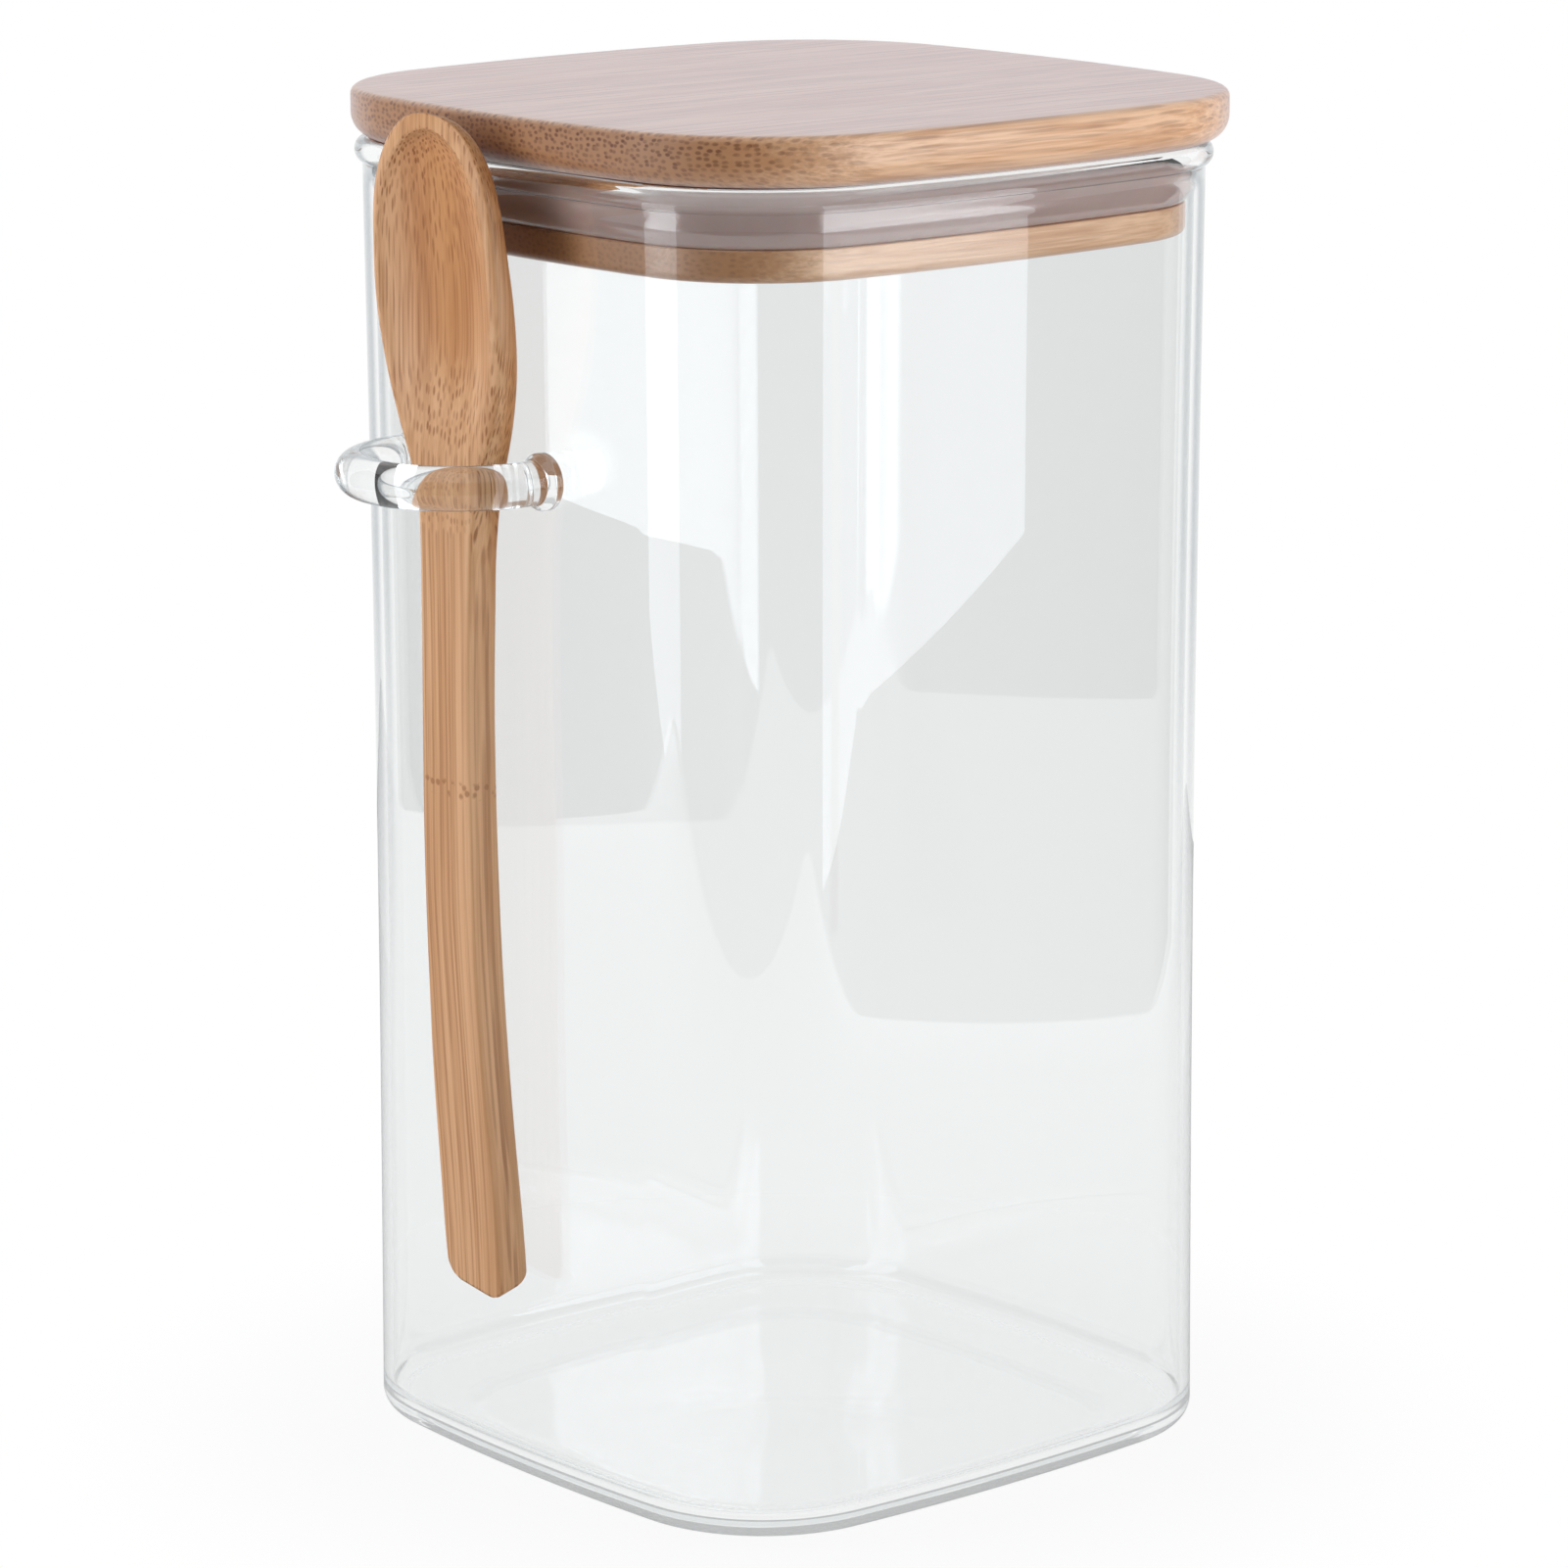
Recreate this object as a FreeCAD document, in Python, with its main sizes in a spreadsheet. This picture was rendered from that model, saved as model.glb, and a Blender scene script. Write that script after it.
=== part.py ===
"""Square glass canister with a push-in bamboo lid and a bamboo spoon in a glass loop.

Millimetres, +Z up. The origin is the middle of the base, on the surface that the jar stands on. The spoon hangs
on the front face, at -Y.
"""
import FreeCAD
import Part
import Sketcher
import math
import os

from FreeCAD import Placement, Rotation, Vector

SIZES = [
    # Glass vessel
    ("jar_width", 100.0, "outer width across the middle of two opposite sides"),
    ("jar_corner", 23.5, "outer radius of the upright corners"),
    ("side_crown", 350.0, "radius of the slight bow of each side"),
    ("jar_height", 189.3, "base to rim"),
    ("glass_wall", 1.5, "thickness of the sides"),
    ("glass_floor", 3.0, "thickness of the floor"),
    ("heel_radius", 7.0, "outer radius where the sides meet the base"),
    ("rim_stand_out", 1.1, "how far the rolled rim stands out from the wall"),
    ("rim_depth", 3.4, "height of the rolled rim"),
    ("rim_round", 0.8, "rounding of the rolled rim's outer edges"),
    ("mouth_flare", 1.0, "how far the mouth opens out on each side"),
    ("mouth_depth", 4.5, "height of the flared mouth"),
    ("dome_diameter", 44.0, "raised middle of the floor, inside"),
    ("dome_rise", 1.2, "height of the raised middle"),
    # Glass loop
    ("rod_diameter", 6.2, "rod that the loop is bent from"),
    ("loop_drop", 42.5, "rim down to the loop's plane"),
    ("loop_offset", -6.0, "middle of the loop along the front face"),
    ("loop_gap", 22.5, "clear width between the legs"),
    ("loop_play", 6.65, "clear depth in the loop beyond the lid's overhang and the spoon"),
    ("foot_diameter", 8.0, "flared foot where a leg is fused to the wall"),
    ("foot_depth", 2.2, "length of the flare"),
    # Bamboo lid
    ("lid_overhang", 3.0, "how far the plate stands out from the glass"),
    ("plate_back", 0.8, "how far the plate is glued behind the plug's middle"),
    ("plate_right", 0.4, "how far the plate is glued to the right of the plug's middle"),
    ("lid_corner", 28.5, "radius of the plate's upright corners"),
    ("lid_crown", 250.0, "radius of the slight bow of the plate's sides"),
    ("lid_thickness", 7.2, "plate thickness"),
    ("lid_top_round", 1.2, "rounding of the plate's upper edge"),
    ("lid_under_round", 3.6, "rounding of the plate's lower edge"),
    ("plug_gap", 1.3, "clearance between the plug and the glass"),
    ("plug_flange", 4.5, "thickness of the plug below the seal"),
    ("plug_round", 1.2, "rounding of the plug's lower edge"),
    ("rebate_height", 8.4, "height of the rebate that holds the seal"),
    ("rebate_depth", 4.0, "depth of the rebate"),
    # Silicone seal
    ("seal_gap", 0.3, "running clearance between the seal and the glass"),
    ("seal_seat", 0.1, "clearance between the seal and the plug's core"),
    ("seal_tuck", 1.6, "how far the seal's lower edge draws in"),
    ("seal_taper", 3.0, "height of the drawn-in lower part"),
    ("seal_lip", 2.0, "height of the flared upper lip"),
    # Bamboo spoon
    ("spoon_length", 167.0, "handle end to bowl tip"),
    ("spoon_shift", 2.0, "middle of the spoon to the right of the loop's middle"),
    ("spoon_gap", 0.3, "clearance of the handle end from the wall"),
    ("lid_clear", 3.7, "clearance of the bowl's tip from the lid's edge"),
    ("seat_clear", 3.7, "play between the bowl's flank and a leg, in the loop's plane"),
    ("spoon_thickness", 4.6, "thickness of the handle"),
    ("arch_radius", 775.0, "outward arch of the handle, seen from the side"),
    ("arch_length", 93.0, "length of the arch from the handle end"),
    ("dip_length", 36.0, "length of the dip at the neck, above the arch"),
    ("handle_end_width", 12.0, "width of the handle near its end"),
    ("handle_end_radius", 3.5, "corners of the handle end, seen from the front"),
    ("handle_nose", 3.0, "rounding of the handle end, seen from the side"),
    ("neck_width", 9.2, "narrowest part of the handle"),
    ("neck_radius", 30.0, "sweep from the bowl into the handle"),
    ("bowl_width", 26.6, "widest part of the bowl"),
    ("bowl_back_length", 74.0, "length of the bowl's rounded back"),
    ("bowl_flank_radius", 80.0, "side of the bowl, seen from the front"),
    ("bowl_tip_ease", 0.4, "how much smaller the tip's radius is than half the bowl"),
    ("bowl_tip_thickness", 2.4, "thickness of the bowl's tip"),
    ("bowl_rim", 1.6, "rim around the bowl's hollow"),
    ("hollow_length", 44.0, "length of the bowl's hollow"),
    ("hollow_depth", 3.0, "depth of the bowl's hollow"),
]

# Shares that hold whatever the sizes are
RIM_ROUND_LIMIT = 0.9  # largest rounding of the rim, as a share of how far it stands out
LEG_ROOT_SHARE = 0.7  # how deep the loop's legs start in the wall, before the vessel trims them
BLANK_DEPTHS = 8.0  # depth of the spoon's front blank, in handle thicknesses
BLANK_WIDTHS = 1.2  # width of the spoon's side blank, in bowl widths
LEVEL_TOLERANCE = 1e-4  # height difference within which an edge counts as level, in mm


class Length:
    """A size with its value and the expression that binds it to the sheet."""

    def __init__(self, value, text):
        self.value = value
        self.text = text

    def _join(self, other, mark, value):
        text = other.text if isinstance(other, Length) else repr(float(other))
        return Length(value, f"({self.text} {mark} {text})")

    def __add__(self, other):
        return self._join(other, "+", self.value + plain(other))

    def __sub__(self, other):
        return self._join(other, "-", self.value - plain(other))

    def __mul__(self, other):
        return self._join(other, "*", self.value * plain(other))

    def __truediv__(self, other):
        return self._join(other, "/", self.value / plain(other))

    def __neg__(self):
        return Length(-self.value, f"(-{self.text})")


def smaller(first, second):
    """The smaller of two sizes."""
    return Length(min(first.value, second.value), f"min({first.text}; {second.text})")


def root(square):
    """The square root of a size."""
    return Length(math.sqrt(square.value), f"sqrt({square.text})")


def plain(size):
    """The number in a size, or the number itself."""
    return size.value if isinstance(size, Length) else float(size)


doc = FreeCAD.newDocument("canister")
sheet = doc.addObject("Spreadsheet::Sheet", "Sizes")
for row, (alias, number, note) in enumerate(SIZES, start=1):
    sheet.set(f"A{row}", note)
    sheet.set(f"B{row}", str(number))
    sheet.setAlias(f"B{row}", alias)
doc.recompute()


def size(alias):
    """A driving size, as the sheet holds it."""
    return Length(float(sheet.get(alias)), f"Sizes.{alias}")


ZERO = Length(0.0, "0")


def bind(thing, path, length):
    """Tie a property of an object to the sheet."""
    thing.setExpression(path, length.text)


def new_body(label):
    """A body whose label is the name of the piece."""
    body = doc.addObject("PartDesign::Body", label)
    body.Label = label
    return body


def new_sketch(body, plane, name, offset=ZERO):
    """A sketch on one of the body's own planes, moved along the plane's normal."""
    sketch = body.newObject("Sketcher::SketchObject", name)
    support = [item for item in body.Origin.OriginFeatures if item.Role == plane][0]
    sketch.AttachmentSupport = [(support, "")]
    sketch.MapMode = "FlatFace"
    sketch.AttachmentOffset = Placement(Vector(0, 0, offset.value), Rotation())
    bind(sketch, "AttachmentOffset.Base.z", offset)
    return sketch


def dimension(sketch, kind, places, length):
    """A driving dimension of a sketch, tied to the sheet."""
    index = sketch.addConstraint(Sketcher.Constraint(kind, *places, length.value))
    bind(sketch, f"Constraints[{index}]", length)


def soft_square(body, name, height, width, corner, crown):
    """A level outline of four slightly bowed sides joined by four corner arcs, all tangent.

    The bowed sides have their centres on the axes, so the outline is the same on all four sides.
    """
    sketch = new_sketch(body, "XY_Plane", name, height)
    setback = crown - width / 2
    reach = crown.value - corner.value
    back = setback.value
    middle = (-back + math.sqrt(2 * reach ** 2 - back ** 2)) / 2
    swing = math.atan2(middle, middle + back)
    up = Vector(0, 0, 1)
    for quarter in range(4):
        turn = quarter * math.pi / 2
        heading = Vector(math.cos(turn), math.sin(turn), 0)
        side = Part.Circle(heading * -back, up, crown.value)
        sketch.addGeometry(Part.ArcOfCircle(side, turn - swing, turn + swing))
        across = Vector(-math.sin(turn), math.cos(turn), 0)
        bend = Part.Circle((heading + across) * middle, up, corner.value)
        sketch.addGeometry(Part.ArcOfCircle(bend, turn + swing, turn + math.pi / 2 - swing))
    for edge in range(8):
        sketch.addConstraint(Sketcher.Constraint("Tangent", edge, 2, (edge + 1) % 8, 1))
    for edge in (2, 4, 6):
        sketch.addConstraint(Sketcher.Constraint("Equal", 0, edge))
        sketch.addConstraint(Sketcher.Constraint("Equal", 1, edge + 1))
    dimension(sketch, "Radius", (0,), crown)
    dimension(sketch, "Radius", (1,), corner)
    for edge, axis in ((0, -1), (2, -2), (4, -1), (6, -2)):
        sketch.addConstraint(Sketcher.Constraint("PointOnObject", edge, 3, axis))
    dimension(sketch, "DistanceX", (0, 3, -1, 1), setback)
    dimension(sketch, "DistanceY", (2, 3, -1, 1), setback)
    dimension(sketch, "DistanceX", (-1, 1, 4, 3), setback)
    dimension(sketch, "DistanceY", (-1, 1, 6, 3), setback)
    return sketch


def extrude(body, kind, name, sketch, length, reverse=False, symmetric=False):
    """A Pad or a Pocket of a sketch."""
    feature = body.newObject(f"PartDesign::{kind}", name)
    feature.Profile = sketch
    feature.Length = length.value
    bind(feature, "Length", length)
    feature.Reversed = reverse
    feature.SideType = "Symmetric" if symmetric else "One side"
    doc.recompute()
    return feature


def loft(body, kind, name, sketches):
    """A straight-sided loft through level outlines."""
    feature = body.newObject(f"PartDesign::{kind}", name)
    feature.Profile = sketches[0]
    feature.Sections = sketches[1:]
    feature.Ruled = True
    doc.recompute()
    return feature


def revolve(body, kind, name, sketch):
    """A Revolution or a Groove about a sketch's upright axis."""
    feature = body.newObject(f"PartDesign::{kind}", name)
    feature.Profile = sketch
    feature.ReferenceAxis = (sketch, ["V_Axis"])
    feature.Angle = 360.0
    doc.recompute()
    return feature


def chain(sketch, pieces, tangent=()):
    """Join a closed run of lines and arcs end to end, tangent where listed.

    Each piece is a curve and the numbers of its first and last end, because an arc that bends clockwise runs from
    its second end to its first.
    """
    ends = []
    for curve, first, last in pieces:
        sketch.addGeometry(curve)
        ends.append((first, last))
    count = len(pieces)
    for edge in range(count):
        following = (edge + 1) % count
        kind = "Tangent" if edge in tangent else "Coincident"
        sketch.addConstraint(Sketcher.Constraint(kind, edge, ends[edge][1], following, ends[following][0]))


def line(start, end):
    """A straight piece of a chain between two points of a sketch."""
    return Part.LineSegment(Vector(*start, 0), Vector(*end, 0)), 1, 2


def arc(centre, radius, start, end):
    """A round piece of a chain about a centre, from one direction to another, in radians."""
    circle = Part.Circle(Vector(*centre, 0), Vector(0, 0, 1), radius)
    if end > start:
        return Part.ArcOfCircle(circle, start, end), 1, 2
    return Part.ArcOfCircle(circle, end, start), 2, 1


def upright(sketch, edge):
    """Hold a line of a sketch upright."""
    sketch.addConstraint(Sketcher.Constraint("Vertical", edge))


def level(sketch, edge):
    """Hold a line of a sketch level."""
    sketch.addConstraint(Sketcher.Constraint("Horizontal", edge))


def level_edges(shape, height, inner=False):
    """The names of the outer, or inner, ring of edges that lie at one height."""
    found = []
    for number, edge in enumerate(shape.Edges, start=1):
        box = edge.BoundBox
        if abs(box.ZMin - height) < LEVEL_TOLERANCE and abs(box.ZMax - height) < LEVEL_TOLERANCE:
            found.append((f"Edge{number}", edge))
    rings = Part.sortEdges([edge for _, edge in found])
    spans = [Part.Wire(ring).BoundBox.XLength for ring in rings]
    pick = rings[spans.index(min(spans) if inner else max(spans))]
    return [name for name, edge in found if any(edge.isSame(other) for other in pick)]


def round_ring(body, name, base, height, radius, inner=False):
    """A fillet along the ring of edges at one height."""
    feature = body.newObject("PartDesign::Fillet", name)
    feature.Base = (base, level_edges(base.Shape, height.value, inner))
    feature.Radius = radius.value
    bind(feature, "Radius", radius)
    doc.recompute()
    return feature


# Glass vessel: a bowed square tube with a rounded heel, a rolled rim and a flared mouth
jar_width = size("jar_width")
jar_corner = size("jar_corner")
side_crown = size("side_crown")
jar_height = size("jar_height")
glass_wall = size("glass_wall")
mouth_flare = size("mouth_flare")


def jar_outline(body, name, height, inset):
    """The vessel's outer outline, drawn in by a distance all round."""
    return soft_square(body, name, height, jar_width - inset * 2, jar_corner - inset, side_crown - inset)


def build_glass_jar():
    """The blown vessel, closed below and open above, with a slightly raised middle to its floor."""
    body = new_body("glass_jar")
    glass_floor = size("glass_floor")
    heel_radius = size("heel_radius")
    stand_out = size("rim_stand_out")
    rim_depth = size("rim_depth")
    rim_round = smaller(size("rim_round"), stand_out * RIM_ROUND_LIMIT)
    rim_base = jar_height - rim_depth
    wall = extrude(body, "Pad", "jar_block", jar_outline(body, "jar_section", ZERO, ZERO), jar_height)
    round_ring(body, "jar_heel", wall, ZERO, heel_radius)
    rim = extrude(body, "Pad", "rim_roll", jar_outline(body, "rim_section", rim_base, -stand_out), rim_depth)
    upper = round_ring(body, "rim_upper_edge", rim, jar_height, rim_round)
    round_ring(body, "rim_lower_edge", upper, rim_base, rim_round)
    bore_outline = jar_outline(body, "bore_section", jar_height, glass_wall)
    bore = extrude(body, "Pocket", "bore", bore_outline, jar_height - glass_floor)
    round_ring(body, "floor_corner", bore, glass_floor, heel_radius - glass_wall, inner=True)
    throat = jar_outline(body, "throat_section", jar_height - size("mouth_depth"), glass_wall)
    lips = jar_outline(body, "mouth_section", jar_height, glass_wall - mouth_flare)
    loft(body, "SubtractiveLoft", "mouth", [throat, lips])

    half = size("dome_diameter") / 2
    rise = size("dome_rise")
    sole = glass_floor / 2
    radius = (half * half + rise * rise) / (rise * 2)
    foot = glass_floor.value
    crest = foot + rise.value
    dome = new_sketch(body, "XZ_Plane", "dome_profile")
    edge_angle = math.asin((radius.value - rise.value) / radius.value)
    chain(dome, [
        line((0, sole.value), (half.value, sole.value)),
        line((half.value, sole.value), (half.value, foot)),
        arc((0, crest - radius.value), radius.value, edge_angle, math.pi / 2),
        line((0, crest), (0, sole.value)),
    ])
    level(dome, 0)
    upright(dome, 1)
    dome.addConstraint(Sketcher.Constraint("PointOnObject", 3, 1, -2))
    dome.addConstraint(Sketcher.Constraint("PointOnObject", 3, 2, -2))
    dome.addConstraint(Sketcher.Constraint("PointOnObject", 2, 3, -2))
    dimension(dome, "DistanceX", (0, 1, 0, 2), half)
    dimension(dome, "DistanceY", (-1, 1, 0, 1), sole)
    dimension(dome, "DistanceY", (1, 1, 1, 2), glass_floor - sole)
    dimension(dome, "Radius", (2,), radius)
    revolve(body, "Revolution", "floor_dome", dome)
    return body


# Glass loop: a rod bent to a level U, with flared feet that are trimmed to the wall they are fused to
loop_height = jar_height - size("loop_drop")
loop_offset = size("loop_offset")
loop_gap = size("loop_gap")
lid_overhang = size("lid_overhang")
spoon_thickness = size("spoon_thickness")
rod_radius = size("rod_diameter") / 2
bend_radius = loop_gap / 2 + rod_radius
loop_reach = lid_overhang + spoon_thickness + size("loop_play")
leg_length = loop_reach - loop_gap / 2
leg_root = jar_width / 2 - glass_wall * LEG_ROOT_SHARE
leg_end = jar_width / 2 + leg_length


def build_spoon_loop(jar):
    """The bent rod with its two feet, trimmed by the vessel."""
    body = new_body("loop_rod")
    right = loop_offset + bend_radius
    left = loop_offset - bend_radius
    path = new_sketch(body, "XY_Plane", "loop_path", loop_height)
    path.addGeometry(Part.LineSegment(Vector(right.value, -leg_root.value), Vector(right.value, -leg_end.value)))
    bend = Part.Circle(Vector(loop_offset.value, -leg_end.value), Vector(0, 0, 1), bend_radius.value)
    path.addGeometry(Part.ArcOfCircle(bend, math.pi, math.tau))
    path.addGeometry(Part.LineSegment(Vector(left.value, -leg_end.value), Vector(left.value, -leg_root.value)))
    path.addConstraint(Sketcher.Constraint("Tangent", 0, 2, 1, 2))
    path.addConstraint(Sketcher.Constraint("Tangent", 1, 1, 2, 1))
    upright(path, 0)
    path.addConstraint(Sketcher.Constraint("Equal", 0, 2))
    dimension(path, "Radius", (1,), bend_radius)
    dimension(path, "DistanceX", (1, 3, -1, 1), -loop_offset)
    dimension(path, "DistanceY", (1, 3, -1, 1), leg_end)
    dimension(path, "DistanceY", (0, 2, 0, 1), leg_end - leg_root)

    section = new_sketch(body, "XZ_Plane", "rod_section", leg_root)
    section.addGeometry(Part.Circle(Vector(right.value, loop_height.value), Vector(0, 0, 1), rod_radius.value))
    dimension(section, "Radius", (0,), rod_radius)
    dimension(section, "DistanceX", (-1, 1, 0, 3), right)
    dimension(section, "DistanceY", (-1, 1, 0, 3), loop_height)
    doc.recompute()
    pipe = body.newObject("PartDesign::AdditivePipe", "rod")
    pipe.Profile = section
    pipe.Spine = (path, ["Edge1", "Edge2", "Edge3"])
    doc.recompute()

    foot_radius = size("foot_diameter") / 2
    flare = foot_radius - rod_radius
    foot_front = jar_width / 2 + size("foot_depth")
    disc_front = foot_front - flare
    for name, middle in (("right_foot", right), ("left_foot", left)):
        foot = new_sketch(body, "XY_Plane", f"{name}_profile", loop_height)
        foot.AttachmentOffset = Placement(Vector(middle.value, 0, loop_height.value), Rotation())
        bind(foot, "AttachmentOffset.Base.x", middle)
        chain(foot, [
            line((0, -leg_root.value), (0, -foot_front.value)),
            line((0, -foot_front.value), (rod_radius.value, -foot_front.value)),
            arc((foot_radius.value, -foot_front.value), flare.value, math.pi, math.pi / 2),
            line((foot_radius.value, -disc_front.value), (foot_radius.value, -leg_root.value)),
            line((foot_radius.value, -leg_root.value), (0, -leg_root.value)),
        ])
        foot.addConstraint(Sketcher.Constraint("PointOnObject", 0, 1, -2))
        upright(foot, 0)
        level(foot, 1)
        upright(foot, 3)
        level(foot, 4)
        dimension(foot, "DistanceY", (0, 1, -1, 1), leg_root)
        dimension(foot, "DistanceY", (0, 2, -1, 1), foot_front)
        dimension(foot, "DistanceX", (1, 1, 1, 2), rod_radius)
        dimension(foot, "Radius", (2,), flare)
        dimension(foot, "DistanceX", (4, 2, 4, 1), foot_radius)
        dimension(foot, "DistanceY", (2, 3, -1, 1), foot_front)
        revolve(body, "Revolution", name, foot)
    loop = doc.addObject("Part::Cut", "spoon_loop")
    loop.Label = "spoon_loop"
    loop.Base = body
    loop.Tool = jar
    doc.recompute()
    return loop


# Bamboo lid: a plate that overhangs the rim and a plug glued under it, with a rebate for the seal
rebate_height = size("rebate_height")
rebate_base = jar_height - rebate_height
plug_inset = glass_wall + size("plug_gap")
core_inset = plug_inset + size("rebate_depth")


def build_lid_plate():
    """The plate, a little off the plug's middle, with a crisp upper edge and a fuller lower one."""
    body = new_body("lid_plate")
    thickness = size("lid_thickness")
    plate_right = size("plate_right")
    plate_back = size("plate_back")
    width = jar_width + lid_overhang * 2
    outline = soft_square(body, "plate_section", jar_height, width, size("lid_corner"), size("lid_crown"))
    outline.AttachmentOffset = Placement(Vector(plate_right.value, plate_back.value, jar_height.value), Rotation())
    bind(outline, "AttachmentOffset.Base.x", plate_right)
    bind(outline, "AttachmentOffset.Base.y", plate_back)
    plate = extrude(body, "Pad", "plate_block", outline, thickness)
    upper = round_ring(body, "plate_upper_edge", plate, jar_height + thickness, size("lid_top_round"))
    round_ring(body, "plate_lower_edge", upper, jar_height, size("lid_under_round"))
    return body


def build_lid_plug():
    """The plug: a core inside the seal and a wider flange below it."""
    body = new_body("lid_plug")
    flange = size("plug_flange")
    plug_base = rebate_base - flange
    extrude(body, "Pad", "core", jar_outline(body, "core_section", rebate_base, core_inset), rebate_height)
    plug = extrude(body, "Pad", "flange", jar_outline(body, "flange_section", plug_base, plug_inset), flange)
    round_ring(body, "plug_lower_edge", plug, plug_base, size("plug_round"))
    return body


def build_lid_seal():
    """The seal: drawn in at its foot, straight at its middle and flared at its upper lip."""
    body = new_body("lid_seal")
    outer = glass_wall + size("seal_gap")
    outlines = [
        jar_outline(body, "seal_foot", rebate_base, outer + size("seal_tuck")),
        jar_outline(body, "seal_waist", rebate_base + size("seal_taper"), outer),
        jar_outline(body, "seal_shoulder", jar_height - size("seal_lip"), outer),
        jar_outline(body, "seal_top", jar_height, outer - mouth_flare),
    ]
    loft(body, "AdditiveLoft", "seal_ring", outlines)
    hole = jar_outline(body, "seal_hole", jar_height, core_inset - size("seal_seat"))
    extrude(body, "Pocket", "seal_opening", hole, rebate_height)
    return body


# Bamboo spoon: sawn to its front outline and its side outline, then hollowed
spoon_length = size("spoon_length")
bowl_width = size("bowl_width")
flank_radius = size("bowl_flank_radius")
neck_radius = size("neck_radius")
bowl_rim = size("bowl_rim")
half_bowl = bowl_width / 2
tip_radius = half_bowl - size("bowl_tip_ease")
flank_inset = flank_radius - half_bowl
flank_run = flank_radius - tip_radius
flank_height = spoon_length - tip_radius - root(flank_run * flank_run - flank_inset * flank_inset)
seat_inset = flank_inset + loop_gap / 2 - size("seat_clear")
seat_height = flank_height - root(flank_radius * flank_radius - seat_inset * seat_inset)


def build_front_blank():
    """Half of the front outline, mirrored: end, tapered handle, neck, flank and round tip."""
    body = new_body("spoon_front_blank")
    end_radius = size("handle_end_radius")
    half_neck = size("neck_width") / 2
    corner_x = size("handle_end_width") / 2 - end_radius
    neck_x = half_neck + neck_radius
    tip_y = spoon_length.value - tip_radius.value
    sweep = flank_radius.value + neck_radius.value
    span = neck_x.value + flank_inset.value
    neck_y = flank_height.value - math.sqrt(sweep ** 2 - span ** 2)
    bend = math.acos(span / sweep)
    rise = neck_y - end_radius.value
    gap = neck_x.value - corner_x.value
    touch = (end_radius.value + neck_radius.value) / math.hypot(gap, rise)
    taper = math.atan2(rise, gap) - math.acos(touch)
    tip_turn = math.acos(flank_inset.value / flank_run.value)
    radius = end_radius.value
    lower = (corner_x.value + radius * math.cos(taper), radius + radius * math.sin(taper))
    reach = neck_radius.value
    upper = (neck_x.value - reach * math.cos(taper), neck_y - reach * math.sin(taper))
    sketch = new_sketch(body, "XZ_Plane", "front_outline")
    chain(sketch, [
        line((0, 0), (corner_x.value, 0)),
        arc((corner_x.value, radius), radius, -math.pi / 2, taper),
        line(lower, upper),
        arc((neck_x.value, neck_y), reach, math.pi + taper, math.pi - bend),
        arc((-flank_inset.value, flank_height.value), flank_radius.value, -bend, tip_turn),
        arc((0, tip_y), tip_radius.value, tip_turn, math.pi / 2),
        line((0, spoon_length.value), (0, 0)),
    ], tangent=(0, 1, 2, 3, 4))
    sketch.addConstraint(Sketcher.Constraint("Coincident", 0, 1, -1, 1))
    level(sketch, 0)
    upright(sketch, 6)
    sketch.addConstraint(Sketcher.Constraint("PointOnObject", 5, 3, -2))
    dimension(sketch, "DistanceY", (6, 2, 6, 1), spoon_length)
    dimension(sketch, "Radius", (1,), end_radius)
    dimension(sketch, "Radius", (3,), neck_radius)
    dimension(sketch, "Radius", (4,), flank_radius)
    dimension(sketch, "Radius", (5,), tip_radius)
    dimension(sketch, "DistanceX", (-1, 1, 1, 3), corner_x)
    dimension(sketch, "DistanceX", (-1, 1, 3, 3), neck_x)
    dimension(sketch, "DistanceX", (4, 3, -1, 1), flank_inset)
    half = extrude(body, "Pad", "front_half", sketch, spoon_thickness * BLANK_DEPTHS, symmetric=True)
    mirror = body.newObject("PartDesign::Mirrored", "front_both")
    mirror.Originals = [half]
    mirror.MirrorPlane = (sketch, ["V_Axis"])
    body.Tip = mirror
    doc.recompute()
    return body


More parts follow.
